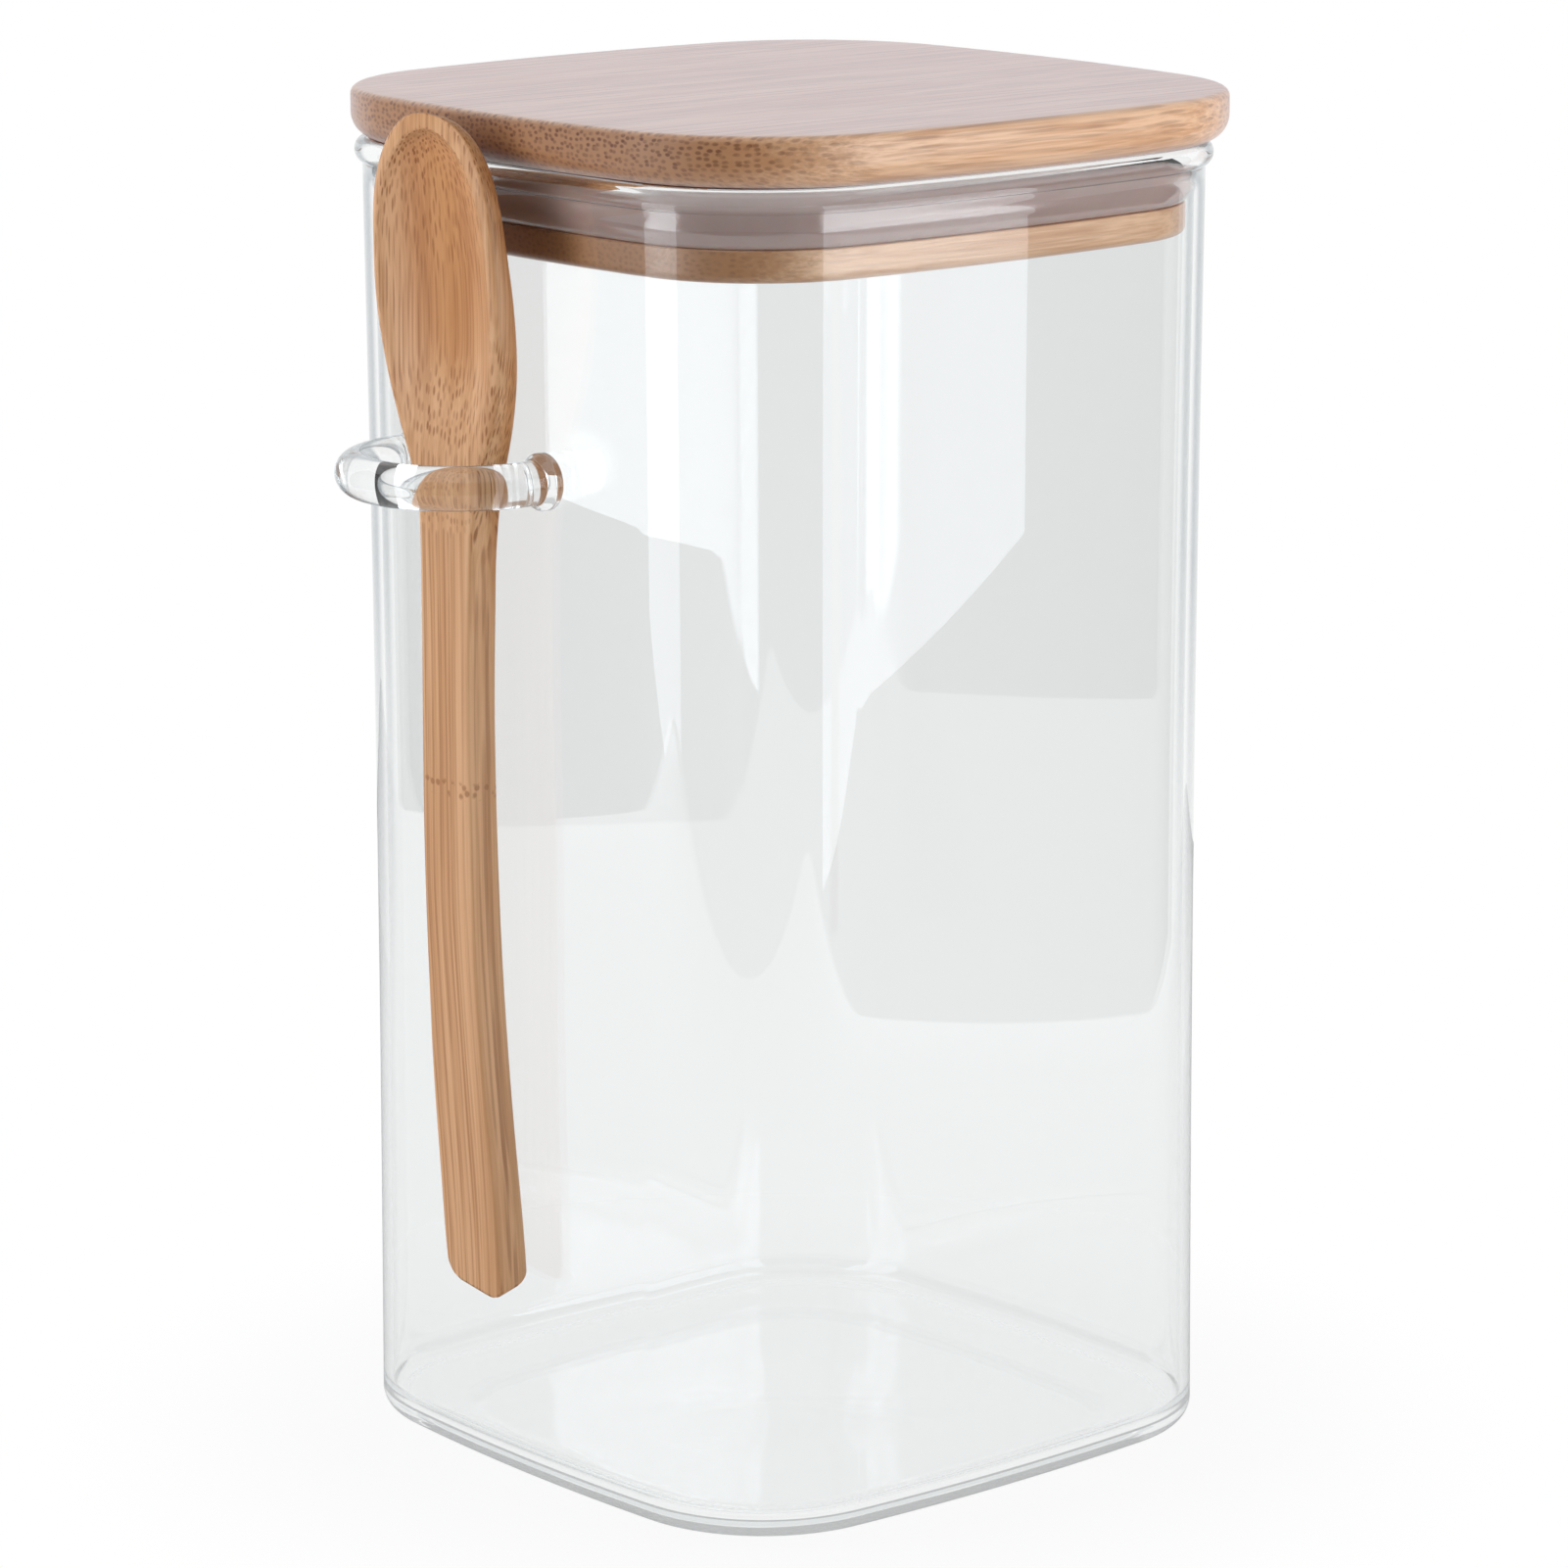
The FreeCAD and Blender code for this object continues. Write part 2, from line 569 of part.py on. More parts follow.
def build_side_blank():
    """The side outline, hollowed by a spindle-shaped cut.

    The front runs up in three arcs on one chord: an arched handle, a dip at the neck and a bowed bowl. The back
    keeps the handle's thickness along the arch and then rounds over to the thin tip in one arc.
    """
    body = new_body("spoon_side_blank")
    nose = size("handle_nose")
    arch_radius = size("arch_radius")
    arch_length = size("arch_length")
    dip_length = size("dip_length")
    tip_thickness = size("bowl_tip_thickness")
    back_start = spoon_length - size("bowl_back_length")
    thick = spoon_thickness.value
    front = -thick
    top = spoon_length.value
    arch = arch_length.value
    dip = dip_length.value
    crown = top - arch - dip
    turn = math.asin(arch / 2 / arch_radius.value)

    def bow(length):
        """The radius of a piece of the front that turns as far as the handle's arch does."""
        return length / 2 / math.sin(turn)

    arch_middle = (front + arch_radius.value * math.cos(turn), arch / 2)
    dip_middle = (front - bow(dip) * math.cos(turn), arch + dip / 2)
    crown_middle = (front + bow(crown) * math.cos(turn), top - crown / 2)
    inner = arch_radius.value - thick
    drop = math.sqrt((inner + nose.value) ** 2 - (arch_middle[1] - nose.value) ** 2)
    nose_middle = (arch_middle[0] - drop, nose.value)
    back_foot = math.atan2(nose.value - arch_middle[1], -drop) % math.tau
    back_head = math.pi - math.asin((back_start.value - arch_middle[1]) / inner)
    joint = (arch_middle[0] + inner * math.cos(back_head), back_start.value)
    tip = (front + tip_thickness.value, top)
    chord = math.hypot(tip[0] - joint[0], tip[1] - joint[1])
    slant = math.atan2(joint[0] - tip[0], tip[1] - joint[1])
    heading = math.pi - back_head
    sweep = heading + slant
    back = chord / 2 / math.sin(sweep)
    back_middle = (joint[0] - back * math.cos(heading), joint[1] + back * math.sin(heading))
    sketch = new_sketch(body, "YZ_Plane", "side_outline")
    chain(sketch, [
        line((front, 0), (nose_middle[0], 0)),
        arc(nose_middle, nose.value, -math.pi / 2, back_foot - math.pi),
        arc(arch_middle, inner, back_foot, back_head),
        arc(back_middle, back, -heading, 2 * sweep - heading),
        line(tip, (front, top)),
        arc(crown_middle, bow(crown), math.pi - turn, math.pi + turn),
        arc(dip_middle, bow(dip), turn, -turn),
        arc(arch_middle, arch_radius.value, math.pi - turn, math.pi + turn),
    ], tangent=(0, 1, 2, 5, 6))
    level(sketch, 0)
    dimension(sketch, "Radius", (1,), nose)
    sketch.addConstraint(Sketcher.Constraint("Coincident", 2, 3, 7, 3))
    dimension(sketch, "Radius", (7,), arch_radius)
    dimension(sketch, "Radius", (2,), arch_radius - spoon_thickness)
    sketch.addConstraint(Sketcher.Constraint("PointOnObject", 0, 1, -1))
    dimension(sketch, "DistanceX", (0, 1, -1, 1), spoon_thickness)
    dimension(sketch, "DistanceX", (7, 1, -1, 1), spoon_thickness)
    dimension(sketch, "DistanceX", (5, 2, -1, 1), spoon_thickness)
    dimension(sketch, "DistanceX", (4, 2, -1, 1), spoon_thickness)
    dimension(sketch, "DistanceY", (-1, 1, 7, 1), arch_length)
    dimension(sketch, "DistanceY", (7, 1, 5, 2), dip_length)
    dimension(sketch, "DistanceY", (-1, 1, 4, 2), spoon_length)
    dimension(sketch, "DistanceY", (-1, 1, 3, 1), back_start)
    level(sketch, 4)
    dimension(sketch, "DistanceX", (4, 2, 4, 1), tip_thickness)
    extrude(body, "Pad", "side_block", sketch, bowl_width * BLANK_WIDTHS, symmetric=True)

    hollow_length = size("hollow_length")
    depth = size("hollow_depth")
    half_width = half_bowl - bowl_rim
    half_length = hollow_length / 2
    axis_gap = (half_width * half_width - depth * depth) / (depth * 2)
    scoop_radius = (half_length * half_length + depth * depth) / (depth * 2)
    scoop_base = spoon_length - bowl_rim - hollow_length
    scoop_mid = scoop_base + half_length
    gap = axis_gap.value
    scoop_sweep = math.asin(half_length.value / scoop_radius.value)
    scoop = new_sketch(body, "YZ_Plane", "hollow_profile")
    scoop.AttachmentOffset = Placement(Vector(front - gap, 0, 0), Rotation())
    bind(scoop, "AttachmentOffset.Base.x", -spoon_thickness - axis_gap)
    base = scoop_base.value
    crest = base + hollow_length.value
    chain(scoop, [
        line((0, base), (gap, base)),
        arc((gap + depth.value - scoop_radius.value, scoop_mid.value), scoop_radius.value,
            -scoop_sweep, scoop_sweep),
        line((gap, crest), (0, crest)),
        line((0, crest), (0, base)),
    ])
    level(scoop, 0)
    level(scoop, 2)
    upright(scoop, 3)
    scoop.addConstraint(Sketcher.Constraint("PointOnObject", 0, 1, -2))
    dimension(scoop, "Radius", (1,), scoop_radius)
    dimension(scoop, "DistanceX", (0, 1, 0, 2), axis_gap)
    dimension(scoop, "DistanceX", (2, 2, 2, 1), axis_gap)
    dimension(scoop, "DistanceY", (-1, 1, 0, 1), scoop_base)
    dimension(scoop, "DistanceY", (3, 2, 3, 1), hollow_length)
    revolve(body, "Groove", "hollow", scoop)
    return body


def build_spoon():
    """The spoon, leaning from the wall at its handle end to the lid's edge at its bowl."""
    spoon = doc.addObject("Part::Common", "spoon")
    spoon.Label = "spoon"
    spoon.Base = build_front_blank()
    spoon.Tool = build_side_blank()
    gap = size("spoon_gap")
    tip_front = lid_overhang + size("lid_clear") + size("bowl_tip_thickness")
    lean = (tip_front - spoon_thickness - gap) / spoon_length
    across = loop_offset + size("spoon_shift")
    away = -(jar_width / 2 + gap)
    base = loop_height - seat_height
    angle = math.degrees(math.asin(lean.value))
    spoon.Placement = Placement(Vector(across.value, away.value, base.value), Rotation(Vector(1, 0, 0), angle))
    bind(spoon, "Placement.Base.x", across)
    bind(spoon, "Placement.Base.y", away)
    bind(spoon, "Placement.Base.z", base)
    spoon.setExpression("Placement.Rotation.Angle", f"asin({lean.text})")
    doc.recompute()
    return spoon


glass_jar = build_glass_jar()
pieces = [
    glass_jar,
    build_spoon_loop(glass_jar),
    build_lid_plate(),
    build_lid_plug(),
    build_lid_seal(),
    build_spoon(),
]
doc.recompute()

failed = [item.Name for item in doc.Objects if "Invalid" in item.State or "Error" in item.State]
if failed:
    raise RuntimeError(f"not built: {failed}")
for piece in pieces:
    if piece.Shape.isNull() or not piece.Shape.isValid():
        raise RuntimeError(f"bad shape: {piece.Label}")

os.makedirs("parts", exist_ok=True)
for piece in pieces:
    shape = piece.Shape
    shape.exportStep(f"parts/{piece.Label}.step")
    print(f"{piece.Label}: {len(shape.Solids)} solid, {shape.Volume:.1f} mm3")
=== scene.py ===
"""Looks of a square glass canister with a bamboo lid and a bamboo spoon that hangs in a glass loop.

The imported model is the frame: metres, origin in the middle of the base, +Z up, the spoon on the -Y face.
Shapes are worked out in millimetres and turned to metres when a mesh is made.
"""

import logging
import math
from dataclasses import dataclass
from enum import Enum

import bpy
import numpy as np
from mathutils import Matrix, Vector


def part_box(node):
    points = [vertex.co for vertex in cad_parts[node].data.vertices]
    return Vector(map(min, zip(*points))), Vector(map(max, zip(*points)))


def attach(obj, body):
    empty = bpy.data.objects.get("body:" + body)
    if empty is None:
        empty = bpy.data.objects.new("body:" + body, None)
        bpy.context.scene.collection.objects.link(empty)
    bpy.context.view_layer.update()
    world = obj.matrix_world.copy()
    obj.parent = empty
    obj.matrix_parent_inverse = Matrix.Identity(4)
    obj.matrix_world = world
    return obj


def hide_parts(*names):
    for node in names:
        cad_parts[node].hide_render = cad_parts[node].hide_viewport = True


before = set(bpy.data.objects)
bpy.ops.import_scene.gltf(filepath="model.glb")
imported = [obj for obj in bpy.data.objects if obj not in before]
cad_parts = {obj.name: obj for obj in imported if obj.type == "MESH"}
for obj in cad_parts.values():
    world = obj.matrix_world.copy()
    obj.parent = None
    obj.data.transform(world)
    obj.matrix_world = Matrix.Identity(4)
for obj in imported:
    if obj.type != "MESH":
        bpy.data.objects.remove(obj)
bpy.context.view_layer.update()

MM = 0.001
BLACK = (0.0, 0.0, 0.0, 1.0)
WHITE = (1.0, 1.0, 1.0, 1.0)
CAUGHT_AFTER = 2.5  # mirror bounces after which light counts as caught inside the glass

Pair = tuple[float, float]
Triple = tuple[float, float, float]
Knots = tuple[Pair, ...]
Material = bpy.types.Material
Socket = bpy.types.NodeSocket
Tree = bpy.types.NodeTree

log = logging.getLogger("canister")


class Grain(Enum):
    """Which way the bamboo's fibres run, as the turn that brings local Z along them."""

    ACROSS = (math.radians(90.0), 0.0, 0.0)
    UPRIGHT = (0.0, 0.0, 0.0)


class Body(Enum):
    """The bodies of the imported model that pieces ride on."""

    JAR = "jar"
    LID = "lid"
    SPOON = "spoon"


def linear(colour: str) -> tuple[float, float, float, float]:
    """Turns an sRGB hex colour to the linear values that sockets take.

    Args:
        colour: six hex digits after a hash sign.

    Returns:
        Linear red, green, blue and an alpha of 1.
    """
    parts = np.array([int(colour[start:start + 2], 16) for start in (1, 3, 5)]) / 255.0
    values = np.where(parts <= 0.04045, parts / 12.92, ((parts + 0.055) / 1.055) ** 2.4)
    return (*values.tolist(), 1.0)


def metres(sizes: tuple[float, ...]) -> list[float]:
    """Turns sizes in millimetres to metres."""
    return [size * MM for size in sizes]


def add(tree: Tree, kind: str, inputs: dict | None = None, **settings) -> bpy.types.Node:
    """Adds a node, sets its properties and fills its sockets.

    Args:
        tree: node tree to add to.
        kind: Blender's name of the node type.
        inputs: socket name or number to a plain value or to another node's output.
        settings: properties of the node.

    Returns:
        The new node.
    """
    node = tree.nodes.new(kind)
    for key, value in settings.items():
        setattr(node, key, value)
    for key, value in (inputs or {}).items():
        if isinstance(value, Socket):
            tree.links.new(value, node.inputs[key])
        else:
            node.inputs[key].default_value = value
    return node


def maths(tree: Tree, operation: str, *values: Socket | float) -> Socket:
    """Adds a maths node for one to three values and gives its result."""
    return add(tree, "ShaderNodeMath", dict(enumerate(values)), operation=operation).outputs[0]


def ramp(tree: Tree, value: Socket, start: float, end: float, low: float = 0.0, high: float = 1.0,
         shape: str = "SMOOTHSTEP") -> Socket:
    """Takes a value from one range to another and holds it there.

    Args:
        tree: node tree to add to.
        value: the value.
        start: where the result is low.
        end: where the result is high.
        low: result up to the start.
        high: result from the end on.
        shape: Blender's name of the way from low to high.

    Returns:
        The result.
    """
    return add(tree, "ShaderNodeMapRange", {
        "Value": value,
        "From Min": start,
        "From Max": end,
        "To Min": low,
        "To Max": high,
    }, interpolation_type=shape).outputs[0]


def blend(tree: Tree, share: Socket, first: tuple | Socket, second: tuple | Socket,
          kind: str = "MIX") -> Socket:
    """Mixes two colours and gives the result."""
    colours = {"Factor": share, "A": first, "B": second}
    return add(tree, "ShaderNodeMix", colours, data_type="RGBA", blend_type=kind).outputs["Result"]


def mix_shaders(tree: Tree, share: Socket, first: Socket, second: Socket) -> Socket:
    """Mixes two shaders and gives the result."""
    return add(tree, "ShaderNodeMixShader", {0: share, 1: first, 2: second}).outputs[0]


def axes(tree: Tree, vector: Socket) -> bpy.types.NodeOutputs:
    """Splits a vector and gives its parts by name."""
    return add(tree, "ShaderNodeSeparateXYZ", {"Vector": vector}).outputs


def scaled(tree: Tree, vector: Socket, sizes: Triple) -> Socket:
    """Scales coordinates in metres so that one unit is a real size in millimetres along each of them."""
    sockets = {"Vector": vector, "Scale": [1 / size for size in metres(sizes)]}
    return add(tree, "ShaderNodeMapping", sockets, vector_type="POINT").outputs[0]


def moved(tree: Tree, share: Socket, reach: Triple, vector: Socket) -> Socket:
    """Moves coordinates by a share of a reach in metres."""
    parts = {0: share, 1: reach, 2: vector}
    return add(tree, "ShaderNodeVectorMath", parts, operation="MULTIPLY_ADD").outputs[0]


def noise(tree: Tree, vector: Socket, detail: float) -> bpy.types.NodeOutputs:
    """Adds a noise whose lumps are about one unit long and gives its outputs."""
    return add(tree, "ShaderNodeTexNoise", {"Vector": vector, "Scale": 1.0, "Detail": detail}).outputs


def new_material(name: str) -> tuple[Material, Tree]:
    """Makes a material with an empty node tree.

    Args:
        name: name of the material.

    Returns:
        The material and its tree.
    """
    material = bpy.data.materials.new(name)
    material.use_nodes = True
    material.node_tree.nodes.clear()
    return material, material.node_tree


def smooth_through(knots: Knots, at: np.ndarray) -> np.ndarray:
    """Draws a smooth curve through a few knots.

    Between two knots the curve is a cubic whose slopes at the knots are the slopes of the chords across
    their neighbours.

    Args:
        knots: places and values, in rising order of place.
        at: places to read the curve at.

    Returns:
        The curve's values.
    """
    knot, value = np.array(knots).T
    slope = np.gradient(value, knot)
    left = np.clip(np.searchsorted(knot, at) - 1, 0, knot.size - 2)
    right = left + 1
    gap = knot[right] - knot[left]
    part = np.clip((at - knot[left]) / gap, 0.0, 1.0)
    rise = 3 * part**2 - 2 * part**3
    start = part - 2 * part**2 + part**3
    end = part**3 - part**2
    return (1 - rise) * value[left] + rise * value[right] + gap * (start * slope[left] + end * slope[right])


def smooth_step(low: float, high: float, at: np.ndarray) -> np.ndarray:
    """Rises from 0 at low to 1 at high, level at both ends."""
    part = np.clip((at - low) / (high - low), 0.0, 1.0)
    return part * part * (3 - 2 * part)


def run(start: Pair, end: Pair, steps: int) -> np.ndarray:
    """Makes a straight run of a profile, without its last point.

    Args:
        start: offset and height where the run starts.
        end: offset and height where the next piece starts.
        steps: number of points.

    Returns:
        Rows of offset, height and a shrink of 1.
    """
    rows = np.linspace(start, end, steps, endpoint=False)
    return np.column_stack([rows, np.ones(steps)])


def bend(centre: Pair, radii: Pair, start: float, end: float, steps: int) -> np.ndarray:
    """Makes a round or elliptic bend of a profile, with both ends.

    Args:
        centre: offset and height of its centre.
        radii: its reach along the offset and along the height.
        start: direction of its first point from the centre, in degrees.
        end: direction of its last point.
        steps: number of points.

    Returns:
        Rows of offset, height and a shrink of 1.
    """
    turn = np.radians(np.linspace(start, end, steps))
    offset = centre[0] + radii[0] * np.cos(turn)
    height = centre[1] + radii[1] * np.sin(turn)
    return np.column_stack([offset, height, np.ones(steps)])


def disc(offset: float, height: float | np.ndarray, shrink: np.ndarray) -> np.ndarray:
    """Makes the part of a profile that closes a shape towards its axis.

    Args:
        offset: offset of the outline that shrinks to the axis.
        height: height of all rows or of each.
        shrink: share of the outline's size at each row, 0 on the axis.

    Returns:
        Rows of offset, height and shrink.
    """
    return np.column_stack([np.full(shrink.size, offset), np.broadcast_to(height, shrink.shape), shrink])


@dataclass(frozen=True)
class SoftSquare:
    """A square outline of four bowed sides and four corner arcs, all tangent, in millimetres."""

    width: float
    corner: float
    crown: float
    side_steps: int = 24
    corner_steps: int = 32

    def ring(self) -> tuple[np.ndarray, np.ndarray]:
        """Works the outline out from its normals.

        A point is a centre plus a radius along its normal. A side's centre lies on the axis, behind the
        middle, and a corner's centre lies on the diagonal, where the two arcs share a normal.

        Returns:
            The points and their outward normals, once round, each as points by 2.
        """
        setback = self.crown - self.width / 2
        reach = self.crown - self.corner
        middle = (math.sqrt(2 * reach**2 - setback**2) - setback) / 2
        swing = math.atan2(middle, middle + setback)
        side = np.linspace(-swing, swing, self.side_steps, endpoint=False)
        corner = np.linspace(swing, math.pi / 2 - swing, self.corner_steps, endpoint=False)
        angle = np.concatenate([side, corner])
        on_side = np.arange(angle.size) < side.size
        centre = np.where(on_side[:, None], (-setback, 0.0), (middle, middle))
        radius = np.where(on_side, self.crown, self.corner)[:, None]
        normal = np.stack([np.cos(angle), np.sin(angle)], axis=-1)
        turns = np.arange(4) * math.pi / 2
        turn = np.array([[np.cos(turns), np.sin(turns)], [-np.sin(turns), np.cos(turns)]])
        points = np.einsum("pi,ijk->kpj", centre + radius * normal, turn)
        normals = np.einsum("pi,ijk->kpj", normal, turn)
        return points.reshape(-1, 2), normals.reshape(-1, 2)

    def carry(self, profile: np.ndarray, middle: Pair = (0.0, 0.0)) -> np.ndarray:
        """Carries a profile round the outline.

        A point is the outline's point moved along its normal by the profile's offset, drawn towards the
        axis by its shrink, and lifted to its height.

        Args:
            profile: rows of offset, height and shrink.
            middle: place of the axis.

        Returns:
            Places, as rings by points round each ring by 3.
        """
        points, normals = self.ring()
        offset, height, shrink = (column[:, None] for column in profile.T)
        flat = shrink[..., None] * (points + offset[..., None] * normals) + np.array(middle)
        return np.concatenate([flat, np.broadcast_to(height, flat.shape[:2])[..., None]], axis=-1)


def capped(rings: np.ndarray) -> np.ndarray:
    """Adds a ring at each end of a stack, drawn to one point in the middle of its neighbour."""
    ends = np.repeat(rings[[0, -1]].mean(axis=1, keepdims=True), rings.shape[1], axis=1)
    return np.concatenate([ends[:1], rings, ends[1:]])


def skin(name: str, rings: np.ndarray, looped: bool = False) -> bpy.types.Object:
    """Makes a closed, smooth mesh over a stack of rings.

    Quads join each ring to the next. A looped stack also joins its last ring to its first. Any other stack
    has its first and last rings drawn to one point, where a fan of triangles closes it.

    Args:
        name: name of the object.
        rings: places in millimetres, as rings by points round each ring by 3.
        looped: whether the stack closes on itself.

    Returns:
        The object, with its faces outwards.
    """
    body = rings if looped else rings[1:-1]
    around = rings.shape[1]
    index = np.arange(body.shape[0] * around).reshape(-1, around)
    lower, upper = (index, np.roll(index, -1, axis=0)) if looped else (index[:-1], index[1:])
    quads = np.stack([lower, np.roll(lower, -1, 1), np.roll(upper, -1, 1), upper], axis=-1).reshape(-1, 4)
    places = body.reshape(-1, 3)
    fans = np.empty((0, 3), dtype=int)
    if not looped:
        places = np.vstack([places, rings[0, 0], rings[-1, 0]])
        foot = np.full(around, index.size)
        first = np.stack([foot, np.roll(index[0], -1), index[0]], axis=-1)
        last = np.stack([foot + 1, index[-1], np.roll(index[-1], -1)], axis=-1)
        fans = np.vstack([first, last])
    triangles = np.vstack([quads[:, [0, 1, 2]], quads[:, [0, 2, 3]], fans])
    corner = places[triangles]
    inside_out = np.einsum("ij,ij->", corner[:, 0], np.cross(corner[:, 1], corner[:, 2])) < 0
    order = slice(None, None, -1) if inside_out else slice(None)
    faces = quads[:, order].tolist() + fans[:, order].tolist()
    mesh = bpy.data.meshes.new(name)
    mesh.from_pydata((places * MM).tolist(), [], faces)
    mesh.polygons.foreach_set("use_smooth", np.ones(len(faces), dtype=bool))
    mesh.update()
    piece = bpy.data.objects.new(name, mesh)
    bpy.context.scene.collection.objects.link(piece)
    return piece


def place(piece: bpy.types.Object, node: str, body: Body, material: Material) -> None:
    """Puts a finished piece in the model in place of a node.

    Args:
        piece: the new piece.
        node: node that it stands for.
        body: body that it moves with.
        material: its finish.
    """
    piece.data.materials.append(material)
    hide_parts(node)
    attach(piece, body.value)
    log.info("%s: %d faces, stands for %s", piece.name, len(piece.data.polygons), node)


@dataclass(frozen=True)
class BlownGlass:
    """Clear borosilicate glass, blown and fire polished.

    It gives a bright, almost colourless body with sharp reflections, and a grey line where the eye meets a
    wall at a low angle, which is painted shade in its colour that fades in up the wall. Lamps shine through
    it, so what stands behind it is lit.
    """

    name: str = "borosilicate_glass_fire_polished"
    tint: str = "#F8F9F9"
    shade: str = "#F6F7F7"
    refraction: float = 1.48
    # painted shade: the grey of the line where a wall is seen at a low angle
    edge: str = "#868F95"
    edge_shade_mm: Pair = (60.0, 130.0)
    grazing: Pair = (0.64, 0.76)
    loss_power: float = 5.0

    def material(self) -> Material:
        """Makes the glass, clear to lamps, to scattered light and to light that was caught inside."""
        material, tree = new_material(self.name)
        where = add(tree, "ShaderNodeTexCoord").outputs
        # painted shade: a grey tint at low angles, none below the lower height and full above the upper
        # one, stands in for the dark line at the glass's edges
        wall = ramp(tree, axes(tree, where["Object"])["Z"], *metres(self.edge_shade_mm), shape="LINEAR")
        facing = add(tree, "ShaderNodeLayerWeight", {"Blend": 0.5}).outputs["Facing"]
        edge = maths(tree, "MULTIPLY", ramp(tree, facing, *self.grazing), wall)
        glass = add(tree, "ShaderNodeBsdfPrincipled", {
            "Base Color": blend(tree, edge, linear(self.tint), linear(self.edge)),
            "Roughness": 0.0,
            "IOR": self.refraction,
            "Transmission Weight": 1.0,
        })
        path = add(tree, "ShaderNodeLightPath").outputs
        caught = maths(tree, "GREATER_THAN", path["Glossy Depth"], CAUGHT_AFTER)
        clear = add(tree, "ShaderNodeBsdfTransparent", {"Color": linear(self.shade)})
        seen = mix_shaders(tree, caught, glass.outputs[0], clear.outputs[0])
        lost = maths(tree, "POWER", facing, self.loss_power)
        passed = blend(tree, lost, linear(self.shade), BLACK)
        lit = add(tree, "ShaderNodeBsdfTransparent", {"Color": passed})
        lamp = maths(tree, "MAXIMUM", path["Is Shadow Ray"], path["Is Diffuse Ray"])
        add(tree, "ShaderNodeOutputMaterial", {"Surface": mix_shaders(tree, lamp, seen, lit.outputs[0])})
        return material


@dataclass(frozen=True)
class Silicone:
    """Platinum-cured silicone, moulded with a satin skin.

    It gives a cool, greyish translucent band with soft reflections.
    """

    name: str = "silicone_moulded_satin"
    colour: str = "#C6ACA4"
    deep: str = "#B39891"
    mottle_mm: float = 9.0
    mottle_detail: float = 3.0
    roughness: float = 0.12
    refraction: float = 1.41
    gloss: float = 1.0
    milkiness: float = 0.35
    milk_mm: float = 2.0
    satin: float = 1.0
    satin_roughness: float = 0.14

    def material(self) -> Material:
        """Makes the silicone, with a faint cloudiness."""
        material, tree = new_material(self.name)
        where = add(tree, "ShaderNodeTexCoord").outputs["Object"]
        cloud = add(tree, "ShaderNodeTexNoise", {
            "Vector": where,
            "Scale": 1 / (self.mottle_mm * MM),
            "Detail": self.mottle_detail,
        }).outputs["Fac"]
        body = add(tree, "ShaderNodeBsdfPrincipled", {
            "Base Color": blend(tree, cloud, linear(self.deep), linear(self.colour)),
            "Roughness": self.roughness,
            "IOR": self.refraction,
            "Subsurface Weight": self.milkiness,
            "Subsurface Scale": self.milk_mm * MM,
            "Specular IOR Level": self.gloss,
            "Coat Weight": self.satin,
            "Coat Roughness": self.satin_roughness,
        })
        add(tree, "ShaderNodeOutputMaterial", {"Surface": body.outputs[0]})
        return material


